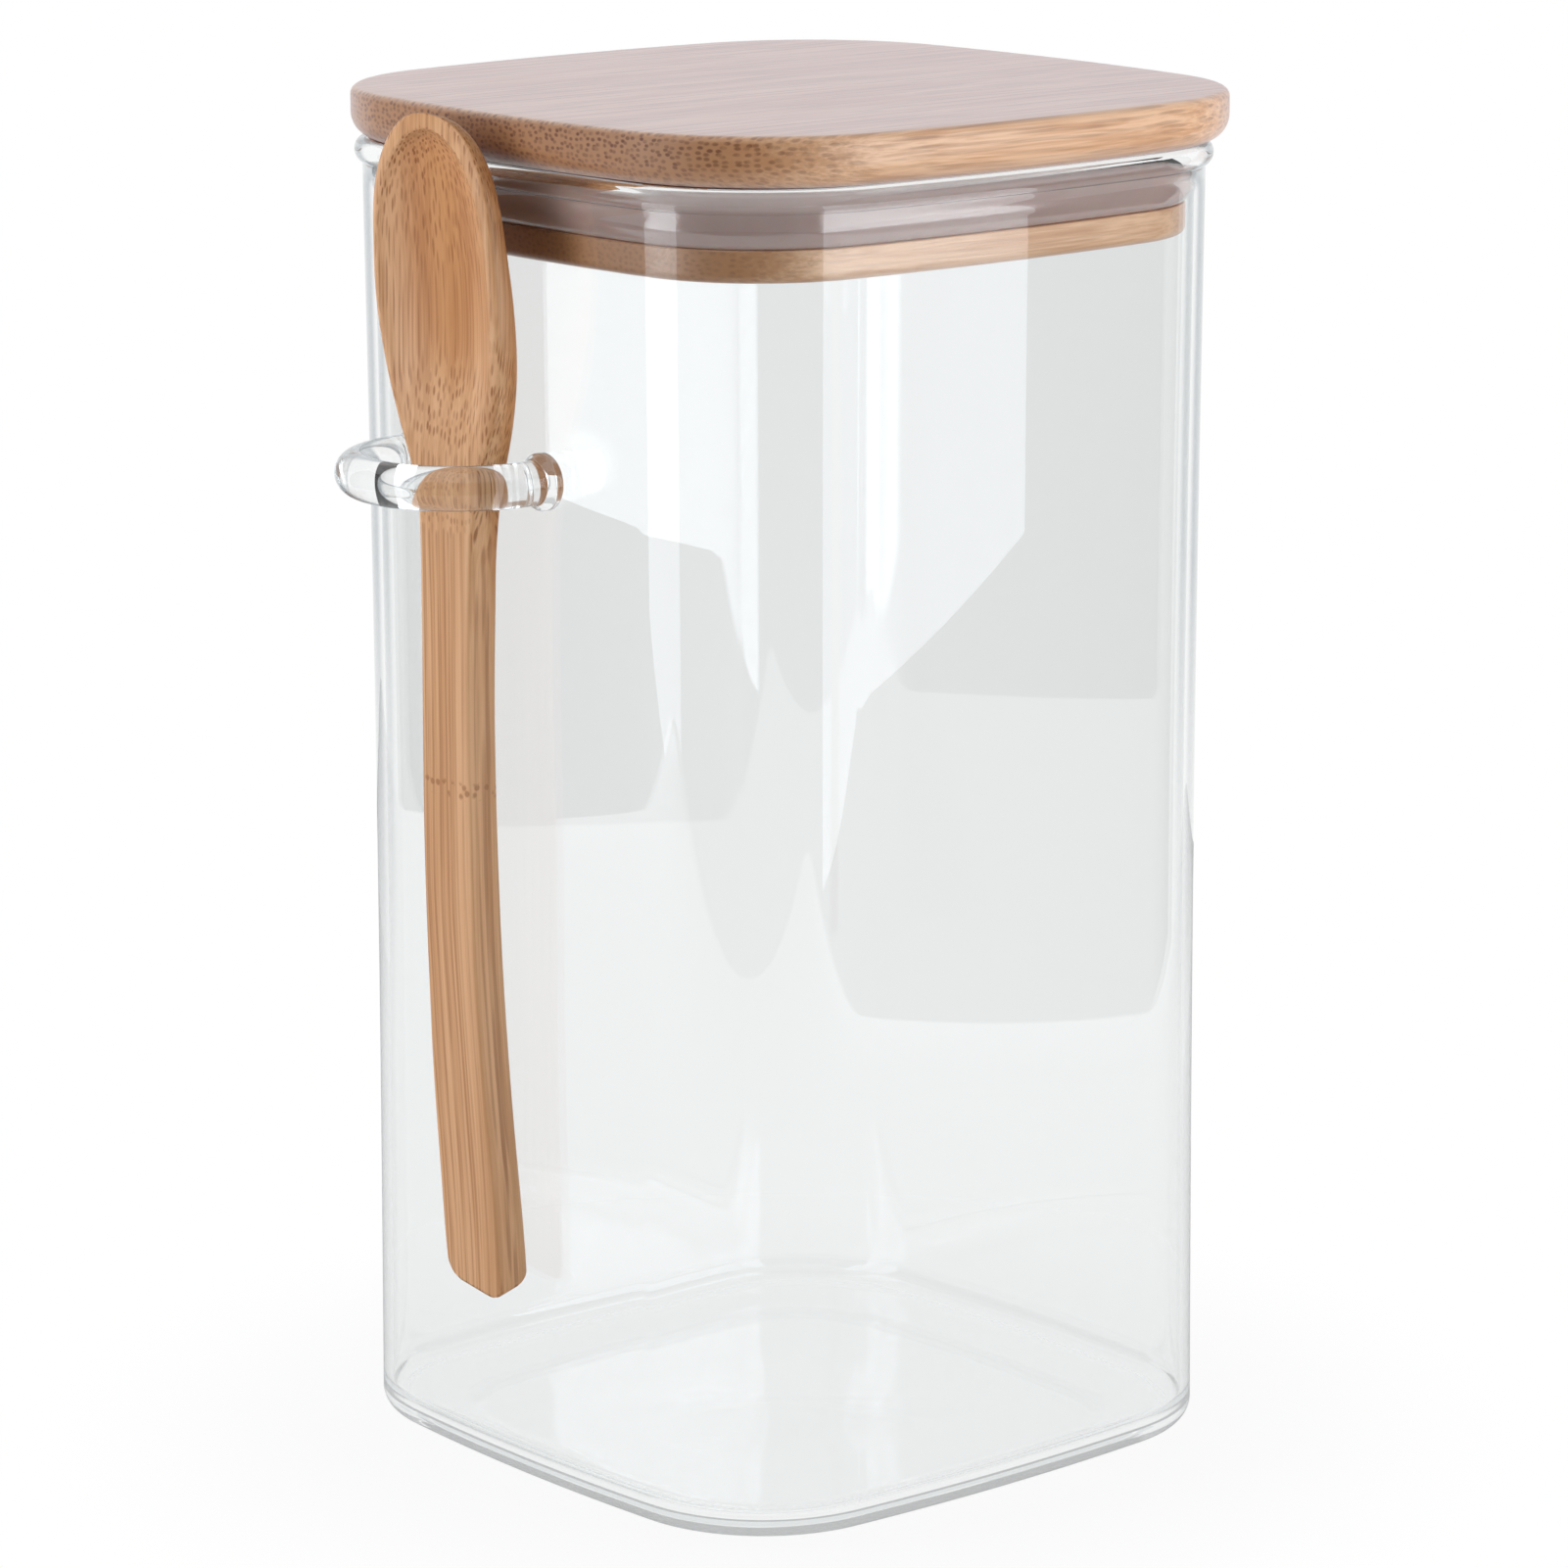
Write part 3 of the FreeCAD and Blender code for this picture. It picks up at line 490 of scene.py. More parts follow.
@dataclass(frozen=True)
class Bamboo:
    """Carbonised moso bamboo, sawn, sanded and oiled to a satin.

    Fibre bundles run along the grain. Sawn across they show as dark dots, sawn at a slant as short dashes
    and sawn along as long ones, so the pattern is a solid one that each face cuts in its own way. Sawn ends
    drink more oil and are darker, and the satin skin gives a pale sheen at a low angle.
    """

    name: str
    grain: Grain
    pale: str
    tan: str
    fibre: str
    end: str
    bundle_mm: Triple
    streak_mm: float
    satin: float
    satin_roughness: float = 0.3
    line_mm: float = 0.3
    line_length_mm: float = 34.0
    line_detail: float = 2.0
    streak_lines: float = 2.0
    band_streaks: float = 3.0
    ground_range: Pair = (1.2, 1.8)
    drift_bundles: Pair = (9.0, 2.0)
    drift_detail: float = 1.0
    wander: float = 1.2
    scatter: float = 0.7
    core: Pair = (0.38, 0.16)
    faintest: float = 0.6
    presence: Pair = (0.34, 0.56)
    absent: float = 0.5
    slant: Pair = (0.25, 0.9)
    along_share: float = 0.4
    end_grain: Pair = (0.25, 0.9)
    crowded_mm: Pair | None = None
    sparse: float = 0.4
    carved_mm: Triple | None = None
    drawn: float = 0.22
    follow_mm: Pair | None = None
    follow_end_mm: Pair = (30.0, 92.0)
    # painted shade: a warm, darker tint multiplied into the bowl's hollow, where the recess is in shade
    hollow_shade: str | None = None
    hollow_shade_mm: Pair = (0.6, 2.8)
    hollow_shade_end_mm: Pair = (34.0, 47.0)
    face_plane: Pair = (-44.0, -0.085)
    knuckle_mm: float | None = None
    knuckle_band_mm: Pair = (1.5, 0.7)
    knuckle_dark: float = 0.6
    spot_mm: float = 1.25
    spot: Pair = (0.5, 0.25)
    relief: float = 0.4
    relief_mm: float = 0.06
    roughness: Pair = (0.38, 0.54)
    gloss: float = 0.5
    bloom: float = 0.0
    bloom_colour: str = "#8C9CFF"
    bloom_roughness: float = 0.5

    def _ground(self, tree: Tree, along: Socket) -> tuple[Socket, Socket]:
        """Paints the wood between the bundles: fine lines, wider streaks and broad bands, added up.

        Args:
            tree: node tree of the material.
            along: coordinates whose Z runs along the grain.

        Returns:
            The colour and the fine lines.
        """
        long = self.streak_lines * self.line_length_mm
        lines, streaks, bands = (
            noise(tree, scaled(tree, along, (width, width, length)), self.line_detail)["Fac"]
            for width, length in (
                (self.line_mm, self.line_length_mm),
                (self.streak_mm, long),
                (self.band_streaks * self.streak_mm, long),
            )
        )
        total = maths(tree, "ADD", maths(tree, "ADD", lines, streaks), bands)
        share = ramp(tree, total, *self.ground_range)
        return blend(tree, share, linear(self.pale), linear(self.tan)), lines

    def _bundles(self, tree: Tree, along: Socket) -> Socket:
        """Paints the fibre bundles: cells across the grain that run on along it, wander, and come and go.

        Args:
            tree: node tree of the material.
            along: coordinates whose Z runs along the grain.

        Returns:
            How dark the fibre is at a place, from 0 to 1.
        """
        across, _, length = self.bundle_mm
        wide, long = self.drift_bundles
        drift_mm = (wide * across, wide * across, long * length)
        drift = noise(tree, scaled(tree, along, drift_mm), self.drift_detail)["Color"]
        wander = self.wander * across * MM
        cut = moved(tree, drift, (wander, wander, 0.0), along)
        if self.carved_mm:
            cut = self._carved(tree, cut)
        cells = add(tree, "ShaderNodeTexVoronoi", {
            "Vector": scaled(tree, cut, self.bundle_mm),
            "Scale": 1.0,
            "Randomness": self.scatter,
        }, voronoi_dimensions="2D", feature="F1").outputs
        core = ramp(tree, cells["Distance"], *self.core)
        lot = add(tree, "ShaderNodeSeparateColor", {"Color": cells["Color"]}).outputs["Red"]
        dark = maths(tree, "MULTIPLY", core, ramp(tree, lot, 0.0, 1.0, self.faintest, shape="LINEAR"))
        part = noise(tree, scaled(tree, along, (across, across, length)), self.drift_detail)["Fac"]
        return maths(tree, "MULTIPLY", dark, ramp(tree, part, *self.presence, self.absent))

    def _carved(self, tree: Tree, along: Socket) -> Socket:
        """Spaces the bundles widely through the handle, cut along the grain, and closely through the bowl.

        Args:
            tree: node tree of the material.
            along: coordinates whose Z runs along the grain.

        Returns:
            The coordinates, with the depth from the middle of the board drawn together below the neck.
        """
        low, high, middle = metres(self.carved_mm)
        parts = axes(tree, along)
        share = ramp(tree, parts["Z"], low, high, self.drawn)
        depth = maths(tree, "MULTIPLY", maths(tree, "SUBTRACT", parts["Y"], middle), share)
        return add(tree, "ShaderNodeCombineXYZ", {"X": parts["X"], "Y": depth, "Z": parts["Z"]}).outputs[0]

    def _followed(self, tree: Tree, along: Socket) -> Socket:
        """Bends the grain with the handle, which sways aside and back towards its end.

        Args:
            tree: node tree of the material.
            along: coordinates whose Z runs along the grain.

        Returns:
            The coordinates, moved by the handle's sway.
        """
        end, start = metres(self.follow_end_mm)
        share = ramp(tree, axes(tree, along)["Z"], start, end)
        return moved(tree, share, (*metres(self.follow_mm), 0.0), along)

    def _shaded_hollow(self, tree: Tree, where: Socket, ground: Socket) -> Socket:
        """Darkens and warms the wood below the face of the board, which leans a little, but not at the
        handle's end. This is painted shade in the bowl's hollow.

        Args:
            tree: node tree of the material.
            where: coordinates in the model.
            ground: colour of the wood at the face.

        Returns:
            The colour, multiplied by the painted shade's tint from a little below the face on.
        """
        parts = axes(tree, where)
        offset, lean = self.face_plane
        face = maths(tree, "MULTIPLY_ADD", parts["Z"], lean, offset * MM)
        deep = ramp(tree, maths(tree, "SUBTRACT", parts["Y"], face), *metres(self.hollow_shade_mm))
        share = maths(tree, "MULTIPLY", deep, ramp(tree, parts["Z"], *metres(self.hollow_shade_end_mm)))
        return blend(tree, share, ground, linear(self.hollow_shade), "MULTIPLY")

    def _knuckle(self, tree: Tree, where: Socket, fibre: Socket) -> Socket:
        """Adds the culm's knuckle: a row of dark spots across the grain.

        Args:
            tree: node tree of the material.
            where: coordinates in the model.
            fibre: darkness of the fibre.

        Returns:
            The darkness with the knuckle's.
        """
        scale = 1 / (self.spot_mm * MM)
        cells = add(tree, "ShaderNodeTexVoronoi", {"Vector": where, "Scale": scale}, feature="F1").outputs
        spot = ramp(tree, cells["Distance"], *self.spot)
        from_ring = maths(tree, "SUBTRACT", axes(tree, where)["Z"], self.knuckle_mm * MM)
        away = maths(tree, "ABSOLUTE", from_ring)
        ring = ramp(tree, away, *metres(self.knuckle_band_mm), high=self.knuckle_dark)
        return maths(tree, "MAXIMUM", fibre, maths(tree, "MULTIPLY", spot, ring))

    def _sawn(self, tree: Tree, normal: Socket) -> Socket:
        """Finds how squarely a face cuts the grain, from 0 along it to 1 across it."""
        facing = add(tree, "ShaderNodeVectorRotate", {"Vector": normal, "Rotation": self.grain.value},
                     rotation_type="EULER_XYZ")
        return maths(tree, "ABSOLUTE", axes(tree, facing.outputs[0])["Z"])

    def material(self) -> Material:
        """Makes the bamboo for one piece."""
        material, tree = new_material(self.name)
        coordinates = add(tree, "ShaderNodeTexCoord").outputs
        where = coordinates["Object"]
        along = add(tree, "ShaderNodeMapping", {"Vector": where, "Rotation": self.grain.value},
                    vector_type="POINT").outputs[0]
        if self.follow_mm:
            along = self._followed(tree, along)
        ground, lines = self._ground(tree, along)
        # painted shade in the spoon's hollow, when a tint for it is given
        if self.hollow_shade:
            ground = self._shaded_hollow(tree, where, ground)
        fibre = self._bundles(tree, along)
        if self.crowded_mm:
            height = axes(tree, where)["Z"]
            crowd = ramp(tree, height, *metres(self.crowded_mm), self.sparse, shape="LINEAR")
            fibre = maths(tree, "MULTIPLY", fibre, crowd)
        square = self._sawn(tree, coordinates["Normal"])
        slanted = ramp(tree, square, *self.slant, self.along_share, shape="LINEAR")
        fibre = maths(tree, "MULTIPLY", fibre, slanted)
        if self.knuckle_mm:
            fibre = self._knuckle(tree, where, fibre)
        sawn = blend(tree, ramp(tree, square, *self.end_grain), ground, linear(self.end))
        relief = add(tree, "ShaderNodeBump", {
            "Height": fibre,
            "Strength": self.relief,
            "Distance": self.relief_mm * MM,
        }, invert=True)
        body = add(tree, "ShaderNodeBsdfPrincipled", {
            "Base Color": blend(tree, fibre, sawn, linear(self.fibre)),
            "Roughness": ramp(tree, lines, 0.0, 1.0, *self.roughness, shape="LINEAR"),
            "Normal": relief.outputs[0],
            "Specular IOR Level": self.gloss,
            "Coat Weight": self.satin,
            "Coat Roughness": self.satin_roughness,
            "Sheen Weight": self.bloom,
            "Sheen Tint": linear(self.bloom_colour),
            "Sheen Roughness": self.bloom_roughness,
        })
        add(tree, "ShaderNodeOutputMaterial", {"Surface": body.outputs[0]})
        return material


@dataclass(frozen=True)
class GlassJar:
    """The blown vessel: bowed sides, a rounded heel, a rolled rim and a flared mouth, in millimetres."""

    outline: SoftSquare = SoftSquare(100.0, 23.5, 350.0)
    wall: float = 1.5
    floor: float = 1.9
    heel: float = 2.8
    inner_heel: float = 3.4
    edge_lift: float = 1.8
    stand_share: float = 0.8
    waist: float = 0.5
    rim_stand_out: float = 1.1
    rim_half_height: float = 1.75
    rim_half_depth: float = 1.55
    rim_arc: Pair = (3.0, 100.0)
    mouth_depth: float = 4.5
    mouth_start: float = 0.6
    mouth_flare: float = 1.0
    dome_rise: float = 1.2
    punt_rise: float = 0.8
    dome_share: float = 0.52
    clearance: float = 0.5
    floor_steps: tuple[int, int] = (24, 30)
    wall_steps: int = 60
    heel_steps: int = 16
    inner_heel_steps: int = 14
    rim_steps: int = 18
    mouth_steps: int = 14

    def profile(self, height: float) -> np.ndarray:
        """Draws the section of the wall, from the middle of the underside round to the middle of the floor.

        The outside is a heel arc, a wall that draws in to a waist as half a sine wave, and an elliptic rim.
        The inside follows it one wall thickness in. Both floors stand on a ring, rise from it to the heel
        as a smooth step and to the middle as half a cosine wave.

        Args:
            height: height of the rim.

        Returns:
            Rows of offset, height and shrink.
        """
        inner, outer = self.floor_steps
        shrink = np.concatenate([
            np.linspace(0.0, self.dome_share, inner),
            np.linspace(self.dome_share, 1.0, outer)[1:],
        ])
        swell = np.cos(np.clip(shrink / self.dome_share, 0.0, 1.0) * math.pi) / 2 + 0.5
        lift = self.edge_lift * smooth_step(self.stand_share, 1.0, shrink)
        wall_foot = self.edge_lift + self.heel
        rim_centre = (self.rim_stand_out - self.rim_half_depth, height - self.rim_half_height)
        rim_radii = (self.rim_half_depth, self.rim_half_height)
        leave = math.degrees(math.acos(-rim_centre[0] / rim_radii[0]))
        wall_top = rim_centre[1] - rim_radii[1] * math.sin(math.radians(leave))
        wall_height = np.linspace(wall_foot, wall_top, self.wall_steps)
        draw_in = self.waist * np.sin(math.pi * (wall_height - wall_foot) / (wall_top - wall_foot))
        outside = np.column_stack([-draw_in, wall_height, np.ones(wall_height.size)])
        throat = height - self.mouth_depth
        inner_foot = self.edge_lift + self.floor + self.inner_heel
        inside = (outside - (self.wall, 0.0, 0.0))[wall_height < throat - self.clearance][::-1]
        inside = inside[inside[:, 1] > inner_foot + self.clearance]
        mouth_height = np.linspace(rim_centre[1] + self.mouth_start, throat, self.mouth_steps)
        flare = self.mouth_flare * smooth_step(throat, height, mouth_height)
        mouth = np.column_stack([flare - self.wall, mouth_height, np.ones(mouth_height.size)])
        inner_centre = (-self.wall - self.inner_heel, inner_foot)
        inner_radii = (self.inner_heel, self.inner_heel)
        return np.vstack([
            disc(-self.heel, lift + self.punt_rise * swell, shrink)[:-1],
            bend((-self.heel, wall_foot), (self.heel, self.heel), -90.0, 0.0, self.heel_steps)[:-1],
            outside,
            bend(rim_centre, rim_radii, self.rim_arc[0] - leave, self.rim_arc[1], self.rim_steps),
            mouth,
            inside,
            bend(inner_centre, inner_radii, 0.0, -90.0, self.inner_heel_steps),
            disc(inner_centre[0], self.floor + lift + self.dome_rise * swell, shrink)[-2::-1],
        ])

    def face_at(self, across: np.ndarray, level: float, height: float) -> np.ndarray:
        """Finds how far the outside of the spoon's side stands from the axis.

        It is half the width, less the bow of the side's arc at that place, less the waist at that level.

        Args:
            across: places across the side.
            level: height on the side.
            height: height of the rim.

        Returns:
            Distances of the face from the axis.
        """
        bow = self.outline.crown - np.sqrt(self.outline.crown**2 - across**2)
        waist = self.waist * math.sin(math.pi * (level - self.heel) / (height - self.heel))
        return self.outline.width / 2 - bow - waist

    def build(self, glass: Material) -> None:
        """Makes the vessel and puts it in the model."""
        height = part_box("glass_jar")[1].z / MM
        piece = skin("blown_jar", self.outline.carry(self.profile(height)))
        place(piece, "glass_jar", Body.JAR, glass)


@dataclass(frozen=True)
class SpoonLoop:
    """The bent rod: two legs, a half-round bend and flared feet that follow the wall, in millimetres."""

    jar: GlassJar
    rod_radius: float = 3.1
    gap: float = 22.5
    foot_radius: float = 4.0
    foot_start: float = 0.7
    foot_end: float = 2.1
    foot_fill: float = 0.96
    weld: float = 0.02
    foot_rings: int = 4
    leg_rings: int = 30
    bend_rings: int = 72
    around: int = 56

    def build(self, glass: Material) -> None:
        """Makes the rod as a circle carried along the U.

        Each ring has an angle round the bend, a share of its leg and a share of its radius. Along a leg a
        ring goes from the curve of the wall to the flat start of the bend, and its radius swells smoothly
        to the foot near the wall. The first and last rings shrink to a point on the wall.
        """
        low, high = (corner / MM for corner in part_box("spoon_loop"))
        middle, level = (low.x + high.x) / 2, (low.z + high.z) / 2
        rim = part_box("glass_jar")[1].z / MM
        turn_radius = self.gap / 2 + self.rod_radius
        bend_start = -low.y - self.rod_radius - turn_radius
        leg = np.concatenate([np.zeros(self.foot_rings), np.linspace(0.0, 1.0, self.leg_rings)])
        full = np.concatenate([np.linspace(0.0, self.foot_fill, self.foot_rings), np.ones(self.leg_rings)])
        turning = np.linspace(0.0, math.pi, self.bend_rings)[1:-1]
        angle = np.concatenate([np.zeros(leg.size), turning, np.full(leg.size, math.pi)])[:, None]
        along = np.concatenate([leg, np.ones(turning.size), leg[::-1]])[:, None]
        share = np.concatenate([full, np.ones(turning.size), full[::-1]])[:, None]

        from_wall = along * (bend_start - self.jar.outline.width / 2)
        swell = 1 - smooth_step(self.foot_start, self.foot_end, from_wall)
        radius = share * (self.rod_radius + (self.foot_radius - self.rod_radius) * swell)
        spin = np.linspace(0.0, math.tau, self.around, endpoint=False)
        reach = turn_radius + radius * np.cos(spin)
        x = middle + reach * np.cos(angle)
        z = level + radius * np.sin(spin)
        wall = self.jar.face_at(x, level, rim) + self.weld
        y = -((1 - along) * wall + along * (bend_start + reach * np.sin(angle)))
        piece = skin("glass_rod_loop", np.stack([x, y, z], axis=-1))
        place(piece, "spoon_loop", Body.JAR, glass)


@dataclass(frozen=True)
class BambooLid:
    """The lid: a plate with a crisp upper edge, a plug with a rebate and the seal in it, in millimetres.

    Close rings, a hold apart, keep the edges crisp.
    """

    plate: SoftSquare = SoftSquare(106.4, 27.6, 250.0)
    mouth: SoftSquare = SoftSquare(100.0, 23.5, 350.0)
    top_round: float = 1.2
    under_round: float = 3.6
    flange_inset: float = 2.8
    flange_round: float = 0.3
    core_inset: float = 6.8
    core_round: float = 0.2
    plug_round: float = 1.2
    seal_inset: float = 1.8
    seal_waist: float = 0.5
    seal_lip: float = 1.12
    seal_lip_start: float = 0.6
    seal_tuck: float = 1.6
    seal_seat: float = 0.1
    seal_clear: float = 0.02
    hold: float = 0.1
    face_steps: tuple[int, int] = (14, 10)
    under_steps: int = 14
    edge_steps: int = 10
    small_steps: tuple[int, int] = (5, 4)
    run_steps: tuple[int, int] = (4, 3)
    seal_steps: int = 30

    def build_plate(self, bamboo: Material) -> None:
        """Makes the plate: a flat top and underside joined by a small and a large edge arc."""
        low, high = (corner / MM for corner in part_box("lid_plate"))
        top, under, hold = self.top_round, self.under_round, self.hold
        share = np.linspace(0.0, 1.0, self.face_steps[0])
        profile = np.vstack([
            disc(-under, low.z, share)[:-1],
            bend((-under, low.z + under), (under, under), -90.0, 0.0, self.under_steps),
            run((0.0, low.z + under + 2 * hold), (0.0, high.z - top - hold), self.run_steps[0]),
            bend((-top, high.z - top), (top, top), 0.0, 90.0, self.edge_steps),
            disc(-top, high.z, share)[-2::-1],
        ])
        middle = ((low.x + high.x) / 2, (low.y + high.y) / 2)
        piece = skin("bamboo_plate", self.plate.carry(profile, middle))
        place(piece, "lid_plate", Body.LID, bamboo)

    def build_plug(self, bamboo: Material) -> None:
        """Makes the plug: a flange below and a narrower core above."""
        low, high = (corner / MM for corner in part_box("lid_plug"))
        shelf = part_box("lid_seal")[0].z / MM
        flange, core, edge, hold = -self.flange_inset, -self.core_inset, self.plug_round, self.hold
        brow, crest = self.flange_round, self.core_round
        brow_steps, crest_steps = self.small_steps
        steps = self.run_steps[0]
        share = np.linspace(0.0, 1.0, self.face_steps[1])
        profile = np.vstack([
            disc(flange - edge, low.z, share)[:-1],
            bend((flange - edge, low.z + edge), (edge, edge), -90.0, 0.0, self.edge_steps),
            run((flange, low.z + edge + 2 * hold), (flange, shelf - brow - hold / 2), steps),
            bend((flange - brow, shelf - brow), (brow, brow), 0.0, 90.0, brow_steps),
            run((flange - brow - hold, shelf), (core + hold, shelf), steps),
            run((core, shelf + hold), (core, high.z - crest - hold), steps),
            bend((core - crest, high.z - crest), (crest, crest), 0.0, 90.0, crest_steps),
            disc(core - crest, high.z, share)[-2::-1],
        ])
        place(skin("bamboo_plug", self.mouth.carry(profile)), "lid_plug", Body.LID, bamboo)

    def build_seal(self, silicone: Material) -> None:
        """Makes the seal: a ring that swells from a tucked-in foot to its waist and flares at its lip.

        The foot is a quarter of an ellipse, and the lip is a smooth step.
        """
        low, high = (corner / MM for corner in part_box("lid_seal"))
        hold, steps = self.hold, self.run_steps
        inner = -self.core_inset + self.seal_seat
        foot, top = low.z + self.seal_clear, high.z - self.seal_clear
        height = np.linspace(low.z + hold / 2, high.z - hold / 2, self.seal_steps)
        share = (height - low.z) / (high.z - low.z)
        tuck = self.seal_tuck * (1 - np.sqrt(1 - np.clip(1 - share / self.seal_waist, 0.0, 1.0) ** 2))
        lip = self.seal_lip * smooth_step(self.seal_lip_start, 1.0, share)
        outer = np.column_stack([lip - tuck - self.seal_inset, height, np.ones(height.size)])
        profile = np.vstack([
            outer,
            run((outer[-1, 0] - 2 * hold, top), (inner + hold, top), steps[1]),
            run((inner, high.z - hold), (inner, low.z + hold), steps[0]),
            run((inner + hold, foot), (outer[0, 0] - hold, foot), steps[1]),
        ])
        piece = skin("silicone_seal", self.mouth.carry(profile), looped=True)
        place(piece, "lid_seal", Body.LID, silicone)


@dataclass(frozen=True)
class BambooSpoon:
    """The spoon: a squarish handle, a narrow neck and a hollowed bowl, in millimetres.

    Knots are places from the handle end on and the values there.
    """

    wall_face: float = 50.0
    tip_start: float = 149.0
    tip_power: float = 2.25
    tip_thinning: float = 8.0
    end_corners: Pair = (2.8, 1.3)
    end_skew: Pair = (1.7, 1.1)
    skew_reach: float = 9.0
    end_round: float = 0.5
    end_power: float = 2.5
    end_rise: float = 0.35
    hollow_tip: Pair = (147.5, 164.8)
    hollow_edge: float = 0.75
    hollow_least: float = 0.01
    hollow_half: Knots = ((110, 3.0), (118, 6.4), (124, 8.9), (130, 10.8), (136.5, 12.0), (143, 12.4),
                          (150, 12.2), (167, 12.2))
    hollow_sink: Knots = ((110, 0.0), (116, 0.0), (120, 0.3), (126, 1.4), (132, 2.5), (139, 3.3),
                          (145, 3.55), (152, 3.3), (158, 2.7), (161.5, 1.95), (163.6, 1.1), (164.8, 0.3),
                          (165.2, 0.0), (167, 0.0))
    half_width: Knots = ((0, 6.1), (14, 6.15), (28, 5.95), (44, 5.6), (62, 5.5), (98, 5.5), (107, 5.85),
                         (113, 6.6), (118, 8.2), (124, 10.6), (130, 12.45), (136.5, 13.6), (143, 13.9),
                         (150, 13.5), (167, 13.5))
    sway: Knots = ((0, 1.75), (12, 1.05), (30, 0.0), (60, -0.65), (90, -0.7), (107, -0.35), (114, -0.05),
                   (122, -0.2), (150, -0.35), (167, -0.6))
    front: Knots = ((0, 5.9), (14, 6.2), (37, 7.0), (53, 7.4), (80, 7.55), (105, 7.5), (119, 7.6),
                    (130, 8.2), (142, 9.1), (154, 9.55), (167, 9.2))
    thickness: Knots = ((0, 5.9), (7, 5.95), (15, 5.75), (40, 5.7), (70, 5.4), (100, 5.5), (115, 5.5),
                        (130, 5.4), (145, 4.9), (155, 4.2), (162, 3.4), (167, 2.7))
    front_crispness: Knots = ((0, 10.0), (100, 10.0), (125, 6.5), (167, 6.0))
    back_crispness: Knots = ((0, 6.0), (100, 6.5), (125, 4.6), (145, 3.4), (167, 2.8))
    rings: int = 320
    crowding: float = 0.35
    around: int = 208

    def _sunk(self, x: np.ndarray, along: np.ndarray) -> np.ndarray:
        """Finds how deep the bowl's hollow is.

        It is as deep at its middle as a smooth curve says, and from there out as a power of one less the
        square of the share across.

        Args:
            x: places across, as rings by points.
            along: place of each ring along the spoon.

        Returns:
            Depths, as rings by points.
        """
        start, end = self.hollow_tip
        rounded = np.sqrt(1 - np.clip((along - start) / (end - start), 0.0, 1.0) ** 2)
        half = np.maximum(smooth_through(self.hollow_half, along) * rounded, self.hollow_least)
        bowl = np.clip(1 - (x / half[:, None]) ** 2, 0.0, 1.0)
        return np.maximum(smooth_through(self.hollow_sink, along), 0.0)[:, None] * bowl**self.hollow_edge

    def _skewed(self, x: np.ndarray, to_back: np.ndarray, along: np.ndarray) -> np.ndarray:
        """Finds how far the skewed handle end is lifted.

        The lift grows evenly to the left and to the back, and a smooth step fades it out up the handle.

        Args:
            x: places across, as rings by points.
            to_back: share of the way from front to back, as rings by points.
            along: place of each ring along the spoon.

        Returns:
            Lifts, as rings by points.
        """
        to_left = 0.5 - x / (2 * self.half_width[0][1])
        fade = 1 - smooth_step(0.0, self.skew_reach, along)
        return (self.end_skew[0] * to_left + self.end_skew[1] * to_back) * fade[:, None]

    def build(self, bamboo: Material) -> None:
        """Makes the spoon as a section carried up its length, with closer rings at both ends.

        The section is a rounded rectangle: a circle pushed out until the sum of its sides' powers is one,
        with a crisper power on the front half than on the back half. Its width, its front and its thickness
        are smooth curves, with two corner arcs at the handle end, which is skewed, and a rounded tip. The
        bowl is sunk into the front.
        """
        low, high = (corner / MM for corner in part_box("spoon"))
        length = high.z - low.z
        sweep = np.linspace(0.0, math.pi, self.rings)
        even = sweep / math.pi
        along = length * (self.crowding * (0.5 - 0.5 * np.cos(sweep)) + (1 - self.crowding) * even)
        tip = np.clip((along - self.tip_start) / (length - self.tip_start), 0.0, 1.0)
        half = smooth_through(self.half_width, along) * (1 - tip**self.tip_power) ** (1 / self.tip_power)
        corner = np.array(self.end_corners)[:, None]
        nose = np.clip(corner - along, 0.0, corner)
        left, right = half - corner + np.sqrt(corner**2 - nose**2)
        rounded = 1 - self.end_round * (nose[0] / corner[0]) ** self.end_power
        deep = smooth_through(self.thickness, along) * rounded * np.sqrt(1 - tip**self.tip_thinning)
        front = smooth_through(self.front, along)

        spin = np.linspace(0.0, math.tau, self.around, endpoint=False)
        across, depth = np.cos(spin), np.sin(spin)
        sharp_front = smooth_through(self.front_crispness, along)[:, None]
        sharp_back = smooth_through(self.back_crispness, along)[:, None]
        power = np.where(depth < 0, sharp_front, sharp_back)
        reach = (np.abs(across) ** power + np.abs(depth) ** power) ** (-1 / power)
        x = np.where(across < 0, left[:, None], right[:, None]) * across * reach
        y = -(front - deep / 2)[:, None] + deep[:, None] / 2 * depth * reach
        y = y + np.where(depth < 0, self._sunk(x, along), 0.0)
        middle = (low.x + high.x) / 2 + smooth_through(self.sway, along)
        height = low.z + self.end_rise + along * (1 - self.end_rise / length)
        z = height[:, None] + self._skewed(x, (1 + depth * reach) / 2, along)
        rings = np.stack([middle[:, None] + x, y - self.wall_face, z], axis=-1)
        place(skin("bamboo_spoon", capped(rings)), "spoon", Body.SPOON, bamboo)


